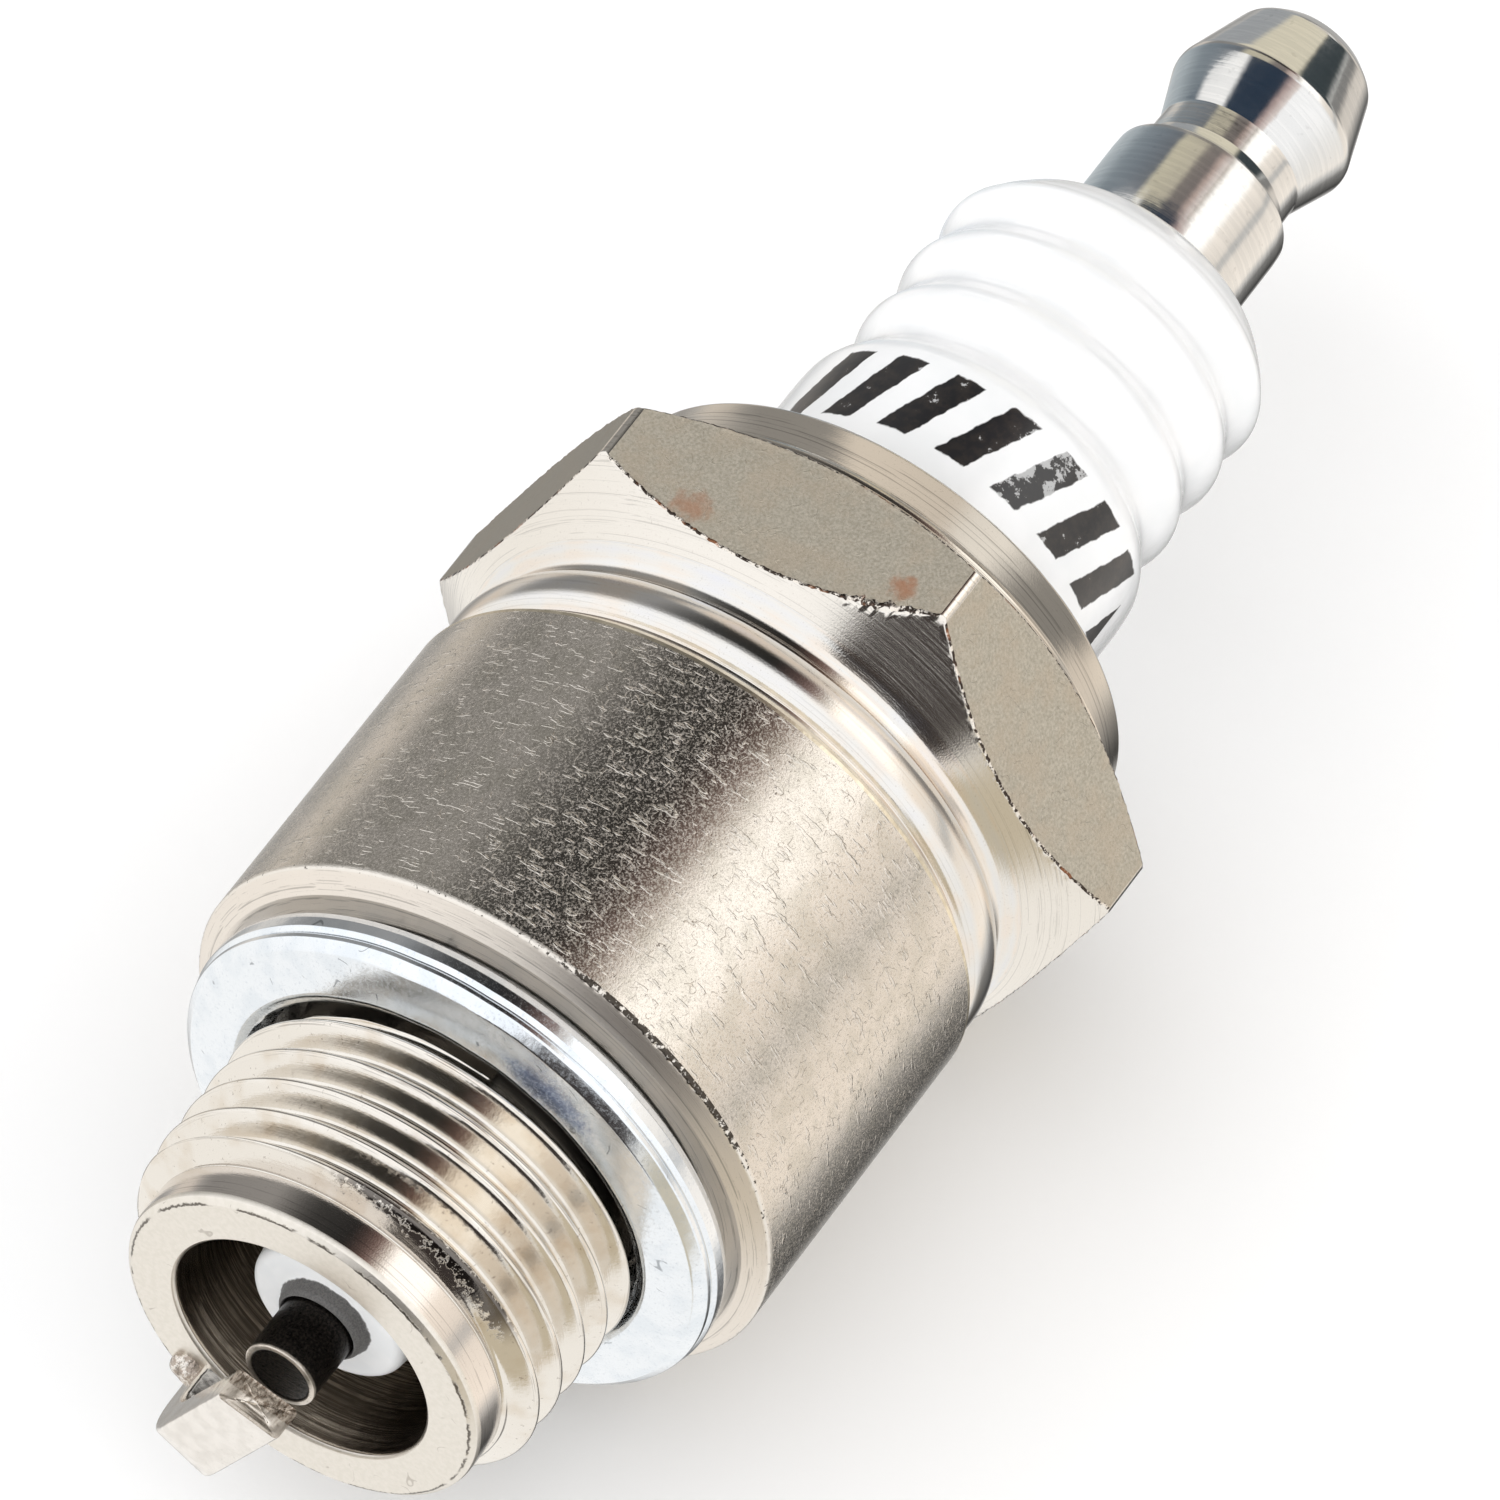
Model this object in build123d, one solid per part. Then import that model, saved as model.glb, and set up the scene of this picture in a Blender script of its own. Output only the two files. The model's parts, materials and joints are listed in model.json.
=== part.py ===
from build123d import *
import math
import os

# Spark plug with a short-reach M14 thread, a captive gasket and a solid barrel terminal.
# +X runs along the plug's axis from the firing end to the terminal, and X = 0 is the seat face that the
# gasket bears on. The plug lies on one flat of its hexagon, so +Z points out of the opposite flat.
# All sizes are in millimetres. A profile is a list of (x, radius) points that is turned around the X axis.

# Thread and firing end
REACH = 9.5                 # seat face to the shell's end face
THREAD_R = 6.93             # crest radius of an M14 x 1.25 thread
THREAD_PITCH = 1.25
THREAD_DEPTH = 0.767
THREAD_CREST_WIDTH = 0.17
THREAD_FLANK_ANGLE = 30     # each flank leans this far, in degrees
THREAD_LEAD_IN = 0.55       # length of the cone from the pilot to the thread's crest
THREAD_TOOL_MARGIN = 0.1    # how far the groove's cutter reaches beyond the crest
PILOT_R = 6.1
PILOT_LENGTH = 1.0
RELIEF_R = 6.0              # undercut between the thread and the seat face
RELIEF_START_X = -1.5
RELIEF_CONE = 0.4
CHAMBER_R = 4.376           # bore around the insulator's nose
EDGE_BREAK = 0.12           # small chamfer on turned edges

# Barrel, groove and bead
BARREL_R = 10.0
SEAT_EDGE = 0.38            # chamfer between the seat face and the barrel
BARREL_END_X = 11.7
GROOVE_X = 12.4
GROOVE_R = 9.42
GROOVE_TOP_X = 12.2
GROOVE_TOP_R = 9.54
BEAD_X = 13.4
BEAD_R = 9.82
BEAD_END_X = 14.3
BEAD_END_R = 9.26
NECK_X = 14.45
NECK_R = 9.2

# Hexagon and crimp
HEX_ACROSS_FLATS = 20.6
HEX_CORNER_R = 11.78        # the hexagon's corners are turned to this radius
HEX_CONE_X = 14.85          # where the cone under the hexagon starts
HEX_CONE_R = 9.62
HEX_CORNER_X0 = 16.62
HEX_CORNER_X1 = 18.7
COLLAR_X = 20.05
COLLAR_LAND = 0.15
COLLAR_SHOULDER_R = 9.95
COLLAR_R = 9.1
COLLAR_FILLET_X = 20.55     # end of the cone from the collar's shoulder
COLLAR_FILLET_R = 9.3
CRIMP_R = 9.0
CRIMP_CORNER_R = 0.83
CRIMP_TOP_X = 22.6
CRIMP_LIP_R = 6.5
CRIMP_LIP_EDGE = 0.2

# Bores inside the shell
LEDGE_R = 3.95
LEDGE_X0 = -2.6
LEDGE_CONE = 0.35
LEDGE_X1 = -1.5
MID_BORE_R = 4.9
MID_BORE_X0 = -0.6
MID_BORE_X1 = 7.0
BIG_BORE_R = 7.5
BIG_BORE_X0 = 9.2
RING_WIRE_R = 0.55
RING_ROOM = 0.05            # clearance around the wire rings
UPPER_RING_X = 21.0

# Insulator
NOSE_X = -8.05
NOSE_R = 2.6
NOSE_ROOT_R = 3.6
NOSE_COLLAR_X = -8.58       # low cone that is left standing around the centre electrode
NOSE_COLLAR_R = 1.62
WASHER_THICKNESS = 0.4
INSULATOR_MID_R = 4.75
FLANGE_R = 7.3
FLANGE_X0 = 9.5
FLANGE_X1 = 16.4
NECK_CONE_X = 17.6
INSULATOR_STEP_X = 7.3      # where the step up to the flange starts
INSULATOR_R = 6.2
BAND_R = 6.15
BAND_END_X = 27.5
RIB_VALLEY_XS = (29.5, 32.4, 34.8)
RIB_PEAK_XS = (31.0, 33.6, 36.1)
RIB_R = 5.66
RIB_VALLEY_R = 5.42
INSULATOR_TOP_X = 37.6
TOP_EDGE_R = 1.5
ELECTRODE_HOLE_R = 1.24
STUD_HOLE_R = 2.1
STUD_HOLE_X0 = 3.0
STUD_HOLE_X1 = 3.82

# Centre electrode, seals and resistor
ELECTRODE_R = 1.2
ELECTRODE_TIP_X = -10.67
ELECTRODE_TIP_CHAMFER = 0.06
ELECTRODE_HEAD_R = 1.9
ELECTRODE_HEAD_X = 4.8
CORE_R = 0.7
CORE_TIP_X = -8.4
SEAL_X0 = 3.9
RESISTOR_X0 = 7.5
RESISTOR_X1 = 14.5
UPPER_SEAL_X1 = 18.2

# Terminal stud
STUD_FOOT_X = 15.6
STUD_FOOT_R = 1.6
STUD_FOOT_END_X = 19.6
STUD_FOOT_RIDGES = 5
STUD_RIDGE_HEIGHT = 0.25
STUD_R = 1.95
STUD_COLLAR_R = 3.08
STUD_COLLAR_END_X = 41.5
STUD_COLLAR_ROUND = 0.35
STUD_NECK_R = 2.5
STUD_NECK_X = 42.9
TERMINAL_R = 3.1
TERMINAL_LAND_X0 = 45.1
TERMINAL_LAND_X1 = 46.1
TERMINAL_SHOULDER = (47.4, 2.72)
TERMINAL_TOP_EDGE = (48.05, 2.4)
TERMINAL_END_X = 48.5
TERMINAL_END_R = 1.8

# Ground electrode
STRAP_ANGLE = -57           # its direction around X, from +Y towards +Z, in degrees
STRAP_WIDTH = 2.2
STRAP_THICKNESS = 1.2
SPARK_GAP = 0.64
STRAP_INNER_R = 4.6
STRAP_END_R = -0.3          # the cut end stops just past the centre electrode's axis
STRAP_END_SKEW = 14         # slant of the sheared end, in degrees
STRAP_BEND_R = 0.6          # inside radius of the bend
WELD_FLASH = 0.24
WELD_FLASH_HEIGHT = 0.3
WELD_BEAD_R = 0.55
WELD_BEAD_CENTRE_R = 5.3

# Gasket
GASKET_R = 9.2
GASKET_INNER_R = 7.06
GASKET_LIP_R = 6.72         # smaller than the thread's crest, so the gasket can't fall off
GASKET_X0 = -2.2
GASKET_SLIT_X = -0.86
GASKET_SLIT_WIDTH = 0.1
GASKET_WEB = 0.2            # how far the web that joins both layers reaches past the slit
GASKET_X1 = -0.12
GASKET_SHEET = 0.4
GASKET_ROUND = 0.6          # rounding of the fold's outer edge
GASKET_INNER_ROUND = 0.35


def turned(*edges):
    """A solid of revolution about X from the edges of its closed half section."""
    return revolve(make_face(Curve() + list(edges)), axis=Axis.X)


def turned_points(points):
    """A solid of revolution about X from the corner points of its half section."""
    return revolve(make_face(Polyline(*points, close=True)), axis=Axis.X)


def thread_groove_turn(start_x):
    """One turn of the V groove that leaves the thread's crests on the shank."""
    root_r = THREAD_R - THREAD_DEPTH
    outside_r = THREAD_R + THREAD_TOOL_MARGIN
    slope = math.tan(math.radians(THREAD_FLANK_ANGLE))
    half_top = (THREAD_PITCH - THREAD_CREST_WIDTH) / 2
    half_root = half_top - THREAD_DEPTH * slope
    half_outside = half_top + (outside_r - THREAD_R) * slope
    path = Wire(Edge.make_helix(THREAD_PITCH, THREAD_PITCH, root_r, center=(start_x, 0, 0), normal=(1, 0, 0)))
    start = path @ 0
    outward = Vector(0, start.Y, start.Z).normalized()
    depth = outside_r - root_r
    section = Plane(origin=start, x_dir=outward, z_dir=path % 0) * make_face(Polyline(
        (0, -half_root),
        (depth, -half_outside),
        (depth, half_outside),
        (0, half_root),
        close=True,
    ))
    return sweep(section, path=path, is_frenet=True)


def hexagon_trim():
    """What is milled off a round blank to leave the hexagon with a flat on top."""
    x0 = HEX_CONE_X - EDGE_BREAK
    length = COLLAR_X - x0
    start = Plane.YZ.offset(x0)
    blank = extrude(start * Circle(HEX_CORNER_R + 2), length)
    hexagon = extrude(start * RegularPolygon(HEX_ACROSS_FLATS / 2, 6, major_radius=False), length)
    return blank - hexagon


def shell():
    """Steel body: pilot, thread, seat, barrel, groove, bead, hexagon, crimped collar and its stepped bore."""
    thread_x = -REACH + PILOT_LENGTH + THREAD_LEAD_IN
    crimp_centre_x = CRIMP_TOP_X - CRIMP_CORNER_R
    crimp_centre_r = CRIMP_R - CRIMP_CORNER_R
    wire_room_r = RING_WIRE_R + RING_ROOM
    pocket_x = UPPER_RING_X + wire_room_r
    pocket_r = BIG_BORE_R - wire_room_r
    lower = Polyline(
        (-REACH, CHAMBER_R + EDGE_BREAK),
        (-REACH, PILOT_R - EDGE_BREAK),
        (-REACH + EDGE_BREAK, PILOT_R),
        (-REACH + PILOT_LENGTH, PILOT_R),
        (thread_x, THREAD_R),
        (RELIEF_START_X, THREAD_R),
        (RELIEF_START_X + RELIEF_CONE, RELIEF_R),
        (0, RELIEF_R),
        (0, BARREL_R - SEAT_EDGE),
        (SEAT_EDGE, BARREL_R),
        (BARREL_END_X, BARREL_R),
        (BARREL_END_X + EDGE_BREAK, BARREL_R - EDGE_BREAK),
        (GROOVE_TOP_X, GROOVE_TOP_R),
        (GROOVE_X, GROOVE_R),
    )
    bead = ThreePointArc((GROOVE_X, GROOVE_R), (BEAD_X, BEAD_R), (BEAD_END_X, BEAD_END_R))
    middle = Polyline(
        (BEAD_END_X, BEAD_END_R),
        (NECK_X, NECK_R),
        (HEX_CONE_X, HEX_CONE_R),
        (HEX_CORNER_X0, HEX_CORNER_R),
        (HEX_CORNER_X1, HEX_CORNER_R),
        (COLLAR_X - COLLAR_LAND, COLLAR_SHOULDER_R),
        (COLLAR_X, COLLAR_SHOULDER_R),
        (COLLAR_FILLET_X, COLLAR_FILLET_R),
        (crimp_centre_x, CRIMP_R),
    )
    crimp_corner = CenterArc((crimp_centre_x, crimp_centre_r), CRIMP_CORNER_R, 90, -90)
    lip = Polyline(
        (CRIMP_TOP_X, crimp_centre_r),
        (CRIMP_TOP_X, CRIMP_LIP_R + CRIMP_LIP_EDGE),
        (CRIMP_TOP_X - CRIMP_LIP_EDGE, CRIMP_LIP_R),
        (pocket_x, CRIMP_LIP_R),
        (pocket_x, pocket_r),
    )
    pocket = CenterArc((UPPER_RING_X, pocket_r), wire_room_r, 0, 90)
    bores = Polyline(
        (UPPER_RING_X, BIG_BORE_R),
        (BIG_BORE_X0, BIG_BORE_R),
        (MID_BORE_X1, MID_BORE_R),
        (MID_BORE_X0, MID_BORE_R),
        (LEDGE_X1, LEDGE_R),
        (LEDGE_X0, LEDGE_R),
        (LEDGE_X0 - LEDGE_CONE, CHAMBER_R),
        (-REACH + EDGE_BREAK, CHAMBER_R),
        (-REACH, CHAMBER_R + EDGE_BREAK),
    )
    body = turned(lower, bead, middle, crimp_corner, lip, pocket, bores)
    body -= hexagon_trim()
    first_turn_x = -REACH - THREAD_PITCH / 2
    turns = round((RELIEF_START_X - first_turn_x) / THREAD_PITCH)
    for turn in range(turns):
        body -= thread_groove_turn(first_turn_x + turn * THREAD_PITCH)
    return body


def seat_cone_x(radius):
    """X on the shell's inner ledge cone at a radius."""
    share = (radius - LEDGE_R) / (MID_BORE_R - LEDGE_R)
    return LEDGE_X1 + share * (MID_BORE_X0 - LEDGE_X1)


def internal_seat_washer():
    """Soft washer squeezed between the shell's ledge cone and the insulator's lower step."""
    inner = LEDGE_R + EDGE_BREAK
    outer = INSULATOR_MID_R
    return turned_points([
        (seat_cone_x(inner), inner),
        (seat_cone_x(outer), outer),
        (seat_cone_x(outer) + WASHER_THICKNESS, outer),
        (seat_cone_x(inner) + WASHER_THICKNESS, inner),
    ])


def insulator():
    """Alumina body with its nose, flange, printed band, three ribs and a stepped bore."""
    nose = Polyline(
        (NOSE_COLLAR_X, ELECTRODE_HOLE_R),
        (NOSE_COLLAR_X, ELECTRODE_HOLE_R + EDGE_BREAK),
        (NOSE_X, NOSE_COLLAR_R),
        (NOSE_X, NOSE_R - EDGE_BREAK),
        (NOSE_X + EDGE_BREAK, NOSE_R),
        (seat_cone_x(NOSE_ROOT_R) + WASHER_THICKNESS, NOSE_ROOT_R),
        (seat_cone_x(INSULATOR_MID_R) + WASHER_THICKNESS, INSULATOR_MID_R),
        (INSULATOR_STEP_X, INSULATOR_MID_R),
        (FLANGE_X0, FLANGE_R),
        (FLANGE_X1, FLANGE_R),
        (NECK_CONE_X, INSULATOR_R),
        (CRIMP_TOP_X, INSULATOR_R),
        (BAND_END_X, BAND_R),
    )
    rib_points = [(BAND_END_X, BAND_R)]
    for valley_x, peak_x in zip(RIB_VALLEY_XS, RIB_PEAK_XS):
        rib_points.append((valley_x, RIB_VALLEY_R))
        rib_points.append((peak_x, RIB_R))
    ribs = Spline(*rib_points)
    corner_middle = TOP_EDGE_R * (1 - math.sqrt(0.5))
    top_corner = ThreePointArc(
        (INSULATOR_TOP_X - TOP_EDGE_R, RIB_R),
        (INSULATOR_TOP_X - corner_middle, RIB_R - corner_middle),
        (INSULATOR_TOP_X, RIB_R - TOP_EDGE_R),
    )
    bore = Polyline(
        (INSULATOR_TOP_X, RIB_R - TOP_EDGE_R),
        (INSULATOR_TOP_X, STUD_HOLE_R),
        (STUD_HOLE_X1, STUD_HOLE_R),
        (STUD_HOLE_X0, ELECTRODE_HOLE_R),
        (NOSE_COLLAR_X, ELECTRODE_HOLE_R),
    )
    return turned(nose, ribs, top_corner, bore)


def centre_electrode():
    """Nickel pin with a conical head, drilled from behind for its copper core."""
    return turned_points([
        (ELECTRODE_TIP_X, 0),
        (ELECTRODE_TIP_X, ELECTRODE_R - ELECTRODE_TIP_CHAMFER),
        (ELECTRODE_TIP_X + ELECTRODE_TIP_CHAMFER, ELECTRODE_R),
        (STUD_HOLE_X0, ELECTRODE_R),
        (STUD_HOLE_X0, ELECTRODE_HOLE_R),
        (STUD_HOLE_X0 + ELECTRODE_HEAD_R - ELECTRODE_HOLE_R, ELECTRODE_HEAD_R),
        (ELECTRODE_HEAD_X, ELECTRODE_HEAD_R),
        (ELECTRODE_HEAD_X, CORE_R),
        (CORE_TIP_X, CORE_R),
        (CORE_TIP_X - CORE_R, 0),
    ])


def centre_electrode_core():
    """Copper core, pointed at the firing end."""
    return turned_points([
        (CORE_TIP_X - CORE_R, 0),
        (CORE_TIP_X, CORE_R),
        (ELECTRODE_HEAD_X, CORE_R),
        (ELECTRODE_HEAD_X, 0),
    ])


def filled_bore(x0, x1):
    """A plug that fills the insulator's wide bore from x0 to x1."""
    return extrude(Plane.YZ.offset(x0) * Circle(STUD_HOLE_R), x1 - x0)


def terminal_stud():
    """Stud with a ridged foot, a collar on the insulator and the solid barrel-shaped head."""
    ridge_step = (STUD_FOOT_END_X - STUD_FOOT_X) / STUD_FOOT_RIDGES
    foot = [(STUD_FOOT_X, 0)]
    for ridge in range(STUD_FOOT_RIDGES):
        x = STUD_FOOT_X + ridge * ridge_step
        foot.append((x, STUD_FOOT_R))
        foot.append((x + ridge_step / 2, STUD_FOOT_R + STUD_RIDGE_HEIGHT))
    collar_round_x = STUD_COLLAR_END_X - STUD_COLLAR_ROUND
    collar_round_r = STUD_COLLAR_R - STUD_COLLAR_ROUND
    lower = Polyline(
        *foot,
        (STUD_FOOT_END_X, STUD_FOOT_R),
        (STUD_FOOT_END_X, STUD_R),
        (INSULATOR_TOP_X, STUD_R),
        (INSULATOR_TOP_X, STUD_COLLAR_R),
        (collar_round_x, STUD_COLLAR_R),
    )
    collar_edge = CenterArc((collar_round_x, collar_round_r), STUD_COLLAR_ROUND, 90, -90)
    to_neck = Spline(
        (STUD_COLLAR_END_X, collar_round_r),
        (STUD_NECK_X, STUD_NECK_R),
        (TERMINAL_LAND_X0, TERMINAL_R),
        tangents=[(0.6, -0.8), (1, 0)],
    )
    land = Polyline((TERMINAL_LAND_X0, TERMINAL_R), (TERMINAL_LAND_X1, TERMINAL_R))
    nose = Spline(
        (TERMINAL_LAND_X1, TERMINAL_R),
        TERMINAL_SHOULDER,
        TERMINAL_TOP_EDGE,
        (TERMINAL_END_X, TERMINAL_END_R),
        tangents=[(1, 0), (0, -1)],
    )
    close = Polyline((TERMINAL_END_X, TERMINAL_END_R), (TERMINAL_END_X, 0), (STUD_FOOT_X, 0))
    return turned(lower, collar_edge, to_neck, land, nose, close)


def wire_ring(x, ring_r):
    """A round wire bent into a closed ring around the axis."""
    return Plane.YZ.offset(x) * Torus(ring_r, RING_WIRE_R)


def talc_packing(x0, x1):
    """Talc powder pressed into a sleeve between the insulator and the shell."""
    return turned_points([
        (x0, INSULATOR_R),
        (x0, BIG_BORE_R),
        (x1, BIG_BORE_R),
        (x1, INSULATOR_R),
    ])


def gasket():
    """Folded sheet ring: a closed fold below, a slit all round outside, and a flat layer on the seat side."""
    slit_top_x = GASKET_SLIT_X + GASKET_SLIT_WIDTH
    fold = make_face(Polyline(
        (GASKET_X0, GASKET_INNER_R),
        (GASKET_SLIT_X, GASKET_INNER_R),
        (GASKET_SLIT_X, GASKET_R),
        (GASKET_X0, GASKET_R),
        close=True,
    ))
    lower_corners = fold.vertices().group_by(Axis.X)[0]
    inner_corner = lower_corners.sort_by(Axis.Y)[0]
    outer_corner = lower_corners.sort_by(Axis.Y)[-1]
    fold = fillet(outer_corner, GASKET_ROUND)
    inner_corner = fold.vertices().sort_by_distance((inner_corner.X, inner_corner.Y))[0]
    fold = fillet(inner_corner, GASKET_INNER_ROUND)
    hollow = Pos((GASKET_X0 + GASKET_SLIT_X) / 2, (GASKET_INNER_R + GASKET_R) / 2) * RectangleRounded(
        GASKET_SLIT_X - GASKET_X0 - 2 * GASKET_SHEET,
        GASKET_R - GASKET_INNER_R - 2 * GASKET_SHEET,
        GASKET_SHEET / 2,
    )
    web = make_face(Polyline(
        (GASKET_SLIT_X - GASKET_WEB, GASKET_LIP_R),
        (slit_top_x + GASKET_WEB, GASKET_LIP_R),
        (slit_top_x + GASKET_WEB, GASKET_INNER_R + GASKET_SHEET),
        (GASKET_SLIT_X - GASKET_WEB, GASKET_INNER_R + GASKET_SHEET),
        close=True,
    ))
    flat_layer = make_face(Polyline(
        (slit_top_x, GASKET_INNER_R),
        (GASKET_X1, GASKET_INNER_R),
        (GASKET_X1, GASKET_R - EDGE_BREAK),
        (slit_top_x, GASKET_R),
        close=True,
    ))
    return revolve(fold - hollow + web + flat_layer, axis=Axis.X)


def ground_electrode():
    """Bent strap with a skewed, sheared end, welded on the shell's end face with a little flash and one bead."""
    angle = math.radians(STRAP_ANGLE)
    outward = Vector(0, math.cos(angle), math.sin(angle))
    side = Vector(1, 0, 0).cross(outward)
    under_x = ELECTRODE_TIP_X - SPARK_GAP
    top_x = under_x - STRAP_THICKNESS
    outer_r = STRAP_INNER_R + STRAP_THICKNESS
    beyond_r = STRAP_END_R - STRAP_WIDTH
    side_view = Plane(origin=(0, 0, 0), x_dir=(1, 0, 0), z_dir=side)
    outline = make_face(Polyline(
        (-REACH, STRAP_INNER_R),
        (under_x, STRAP_INNER_R),
        (under_x, beyond_r),
        (top_x, beyond_r),
        (top_x, outer_r),
        (-REACH, outer_r),
        close=True,
    ))
    inner_corner = outline.vertices().sort_by_distance((under_x, STRAP_INNER_R))[0]
    outline = fillet(inner_corner, STRAP_BEND_R)
    outer_corner = outline.vertices().sort_by_distance((top_x, outer_r))[0]
    outline = fillet(outer_corner, STRAP_BEND_R + STRAP_THICKNESS)
    strap = extrude(side_view * outline, STRAP_WIDTH / 2, both=True)

    # The end is sheared at a slant across the strap.
    lean = STRAP_WIDTH * math.tan(math.radians(STRAP_END_SKEW))
    beyond_end = make_face(Polyline(
        (STRAP_END_R - lean, -STRAP_WIDTH),
        (STRAP_END_R + lean, STRAP_WIDTH),
        (beyond_r - 1, STRAP_WIDTH),
        (beyond_r - 1, -STRAP_WIDTH),
        close=True,
    ))
    end_view = Plane(origin=(top_x - 1, 0, 0), x_dir=outward, z_dir=(1, 0, 0))
    strap -= extrude(end_view * beyond_end, STRAP_THICKNESS + 2)

    end_face_centre = Vector(-REACH, 0, 0)
    foot_centre = end_face_centre + outward * (STRAP_INNER_R + outer_r) / 2
    foot = Plane(origin=foot_centre, x_dir=outward, z_dir=(-1, 0, 0))
    flash_outline = Rectangle(STRAP_THICKNESS + WELD_FLASH, STRAP_WIDTH + 2 * WELD_FLASH)
    flash = extrude(foot * flash_outline, WELD_FLASH_HEIGHT)
    flash = chamfer(flash.edges().group_by(Axis.X)[0], WELD_FLASH * 0.4)
    bead_centre = end_face_centre + outward * WELD_BEAD_CENTRE_R + side * (STRAP_WIDTH / 2 + WELD_BEAD_R * 0.4)
    half_space = Pos(0, 0, WELD_BEAD_R) * Box(4 * WELD_BEAD_R, 4 * WELD_BEAD_R, 2 * WELD_BEAD_R)
    bead = Plane(origin=bead_centre, z_dir=(-1, 0, 0)) * (Sphere(WELD_BEAD_R) & half_space)
    return strap + flash + bead


def main():
    electrode = centre_electrode()
    core = centre_electrode_core()
    stud = terminal_stud()
    lower_ring_x = NECK_CONE_X + RING_ROOM
    ring_r = BIG_BORE_R - RING_ROOM / 2 - RING_WIRE_R
    talc_x0 = lower_ring_x + RING_WIRE_R
    talc_x1 = UPPER_RING_X - RING_WIRE_R
    parts = {
        "shell": shell(),
        "ground_electrode": ground_electrode(),
        "gasket": gasket(),
        "insulator": insulator(),
        "internal_seat_washer": internal_seat_washer(),
        "lower_packing_ring": wire_ring(lower_ring_x, ring_r),
        "talc_packing": talc_packing(talc_x0, talc_x1),
        "upper_packing_ring": wire_ring(UPPER_RING_X, ring_r),
        "centre_electrode": electrode,
        "centre_electrode_core": core,
        "lower_glass_seal": filled_bore(SEAL_X0, RESISTOR_X0) - electrode - core,
        "resistor_element": filled_bore(RESISTOR_X0, RESISTOR_X1),
        "upper_glass_seal": filled_bore(RESISTOR_X1, UPPER_SEAL_X1) - stud,
        "terminal_stud": stud,
    }
    os.makedirs("parts", exist_ok=True)
    for name, part in parts.items():
        export_step(part, f"parts/{name}.step")


main()
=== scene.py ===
import json
import math
import bpy
import numpy as np
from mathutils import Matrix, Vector

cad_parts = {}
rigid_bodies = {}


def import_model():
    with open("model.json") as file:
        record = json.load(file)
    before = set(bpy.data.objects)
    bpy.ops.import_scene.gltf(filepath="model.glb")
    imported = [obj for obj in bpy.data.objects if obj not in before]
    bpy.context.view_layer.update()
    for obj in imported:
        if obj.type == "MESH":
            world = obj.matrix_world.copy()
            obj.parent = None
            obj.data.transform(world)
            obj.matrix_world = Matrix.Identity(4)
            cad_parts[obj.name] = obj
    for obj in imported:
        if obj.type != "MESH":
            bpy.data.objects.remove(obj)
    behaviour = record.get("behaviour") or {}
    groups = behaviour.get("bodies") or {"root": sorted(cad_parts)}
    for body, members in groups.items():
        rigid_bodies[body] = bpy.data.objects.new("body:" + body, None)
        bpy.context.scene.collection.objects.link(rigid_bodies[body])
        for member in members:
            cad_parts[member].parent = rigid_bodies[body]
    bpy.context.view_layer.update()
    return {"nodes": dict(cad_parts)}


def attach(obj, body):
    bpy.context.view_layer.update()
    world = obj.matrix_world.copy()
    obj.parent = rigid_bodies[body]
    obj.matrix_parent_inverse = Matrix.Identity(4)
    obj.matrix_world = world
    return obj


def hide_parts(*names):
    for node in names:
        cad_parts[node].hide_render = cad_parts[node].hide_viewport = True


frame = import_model()

# Sizes are in millimetres and a profile is a list of (x, radius, corner rounding), as in the CAD.
MM = 0.001
COLUMNS = 720               # steps around the axis on the shell, so that 29.5 degrees falls on one
FLOOR_Z = -10.32

THREAD_R = 6.93
THREAD_ROOT_R = 6.163
THREAD_PITCH = 1.25
THREAD_START_X = -9.5 - 0.425
CORNER_ANGLE = 29.5         # half the angle of one flat, where the turned corner starts
APOTHEM = 10.3
HEX_CORNER_R = APOTHEM / math.cos(math.radians(CORNER_ANGLE))
LOW_CONE = (14.85, 9.62, 1.2203)     # x, radius, rise of the cone under the hexagon
HIGH_CONE = (19.9, 9.95, 1.525)      # x, radius, fall of the cone above it

INSULATOR_R = 6.2
CARD_R = 16.0               # near enough for the terminal, too near for the crimp to reflect
CARD_COLUMNS = 24
STRAP_ANGLE = -57.0         # the ground electrode's place around the axis


# ---------------------------------------------------------------- profiles and meshes

def rounded(points, steps=5):
    """The (x, r) points of a line through (x, r, rounding) corners."""
    made = []
    last = len(points) - 1
    for i, (x, r, rounding) in enumerate(points):
        here = np.array([x, r])
        if i in (0, last) or rounding <= 0:
            made.append(here)
            continue
        back = np.array(points[i - 1][:2]) - here
        ahead = np.array(points[i + 1][:2]) - here
        back_length, ahead_length = np.linalg.norm(back), np.linalg.norm(ahead)
        back, ahead = back / back_length, ahead / ahead_length
        half = math.acos(max(-1.0, min(1.0, float(back @ ahead)))) / 2
        reach = min(rounding / math.tan(half), back_length * 0.48, ahead_length * 0.48)
        radius = reach * math.tan(half)
        middle = back + ahead
        centre = here + middle / np.linalg.norm(middle) * radius / math.sin(half)
        a = here + back * reach - centre
        b = here + ahead * reach - centre
        sweep = math.acos(max(-1.0, min(1.0, float(a @ b) / radius ** 2)))
        for k in range(steps + 1):
            t = k / steps
            share = (math.sin((1 - t) * sweep) * a + math.sin(t * sweep) * b) / math.sin(sweep)
            made.append(centre + share)
    return np.array(made)


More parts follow.
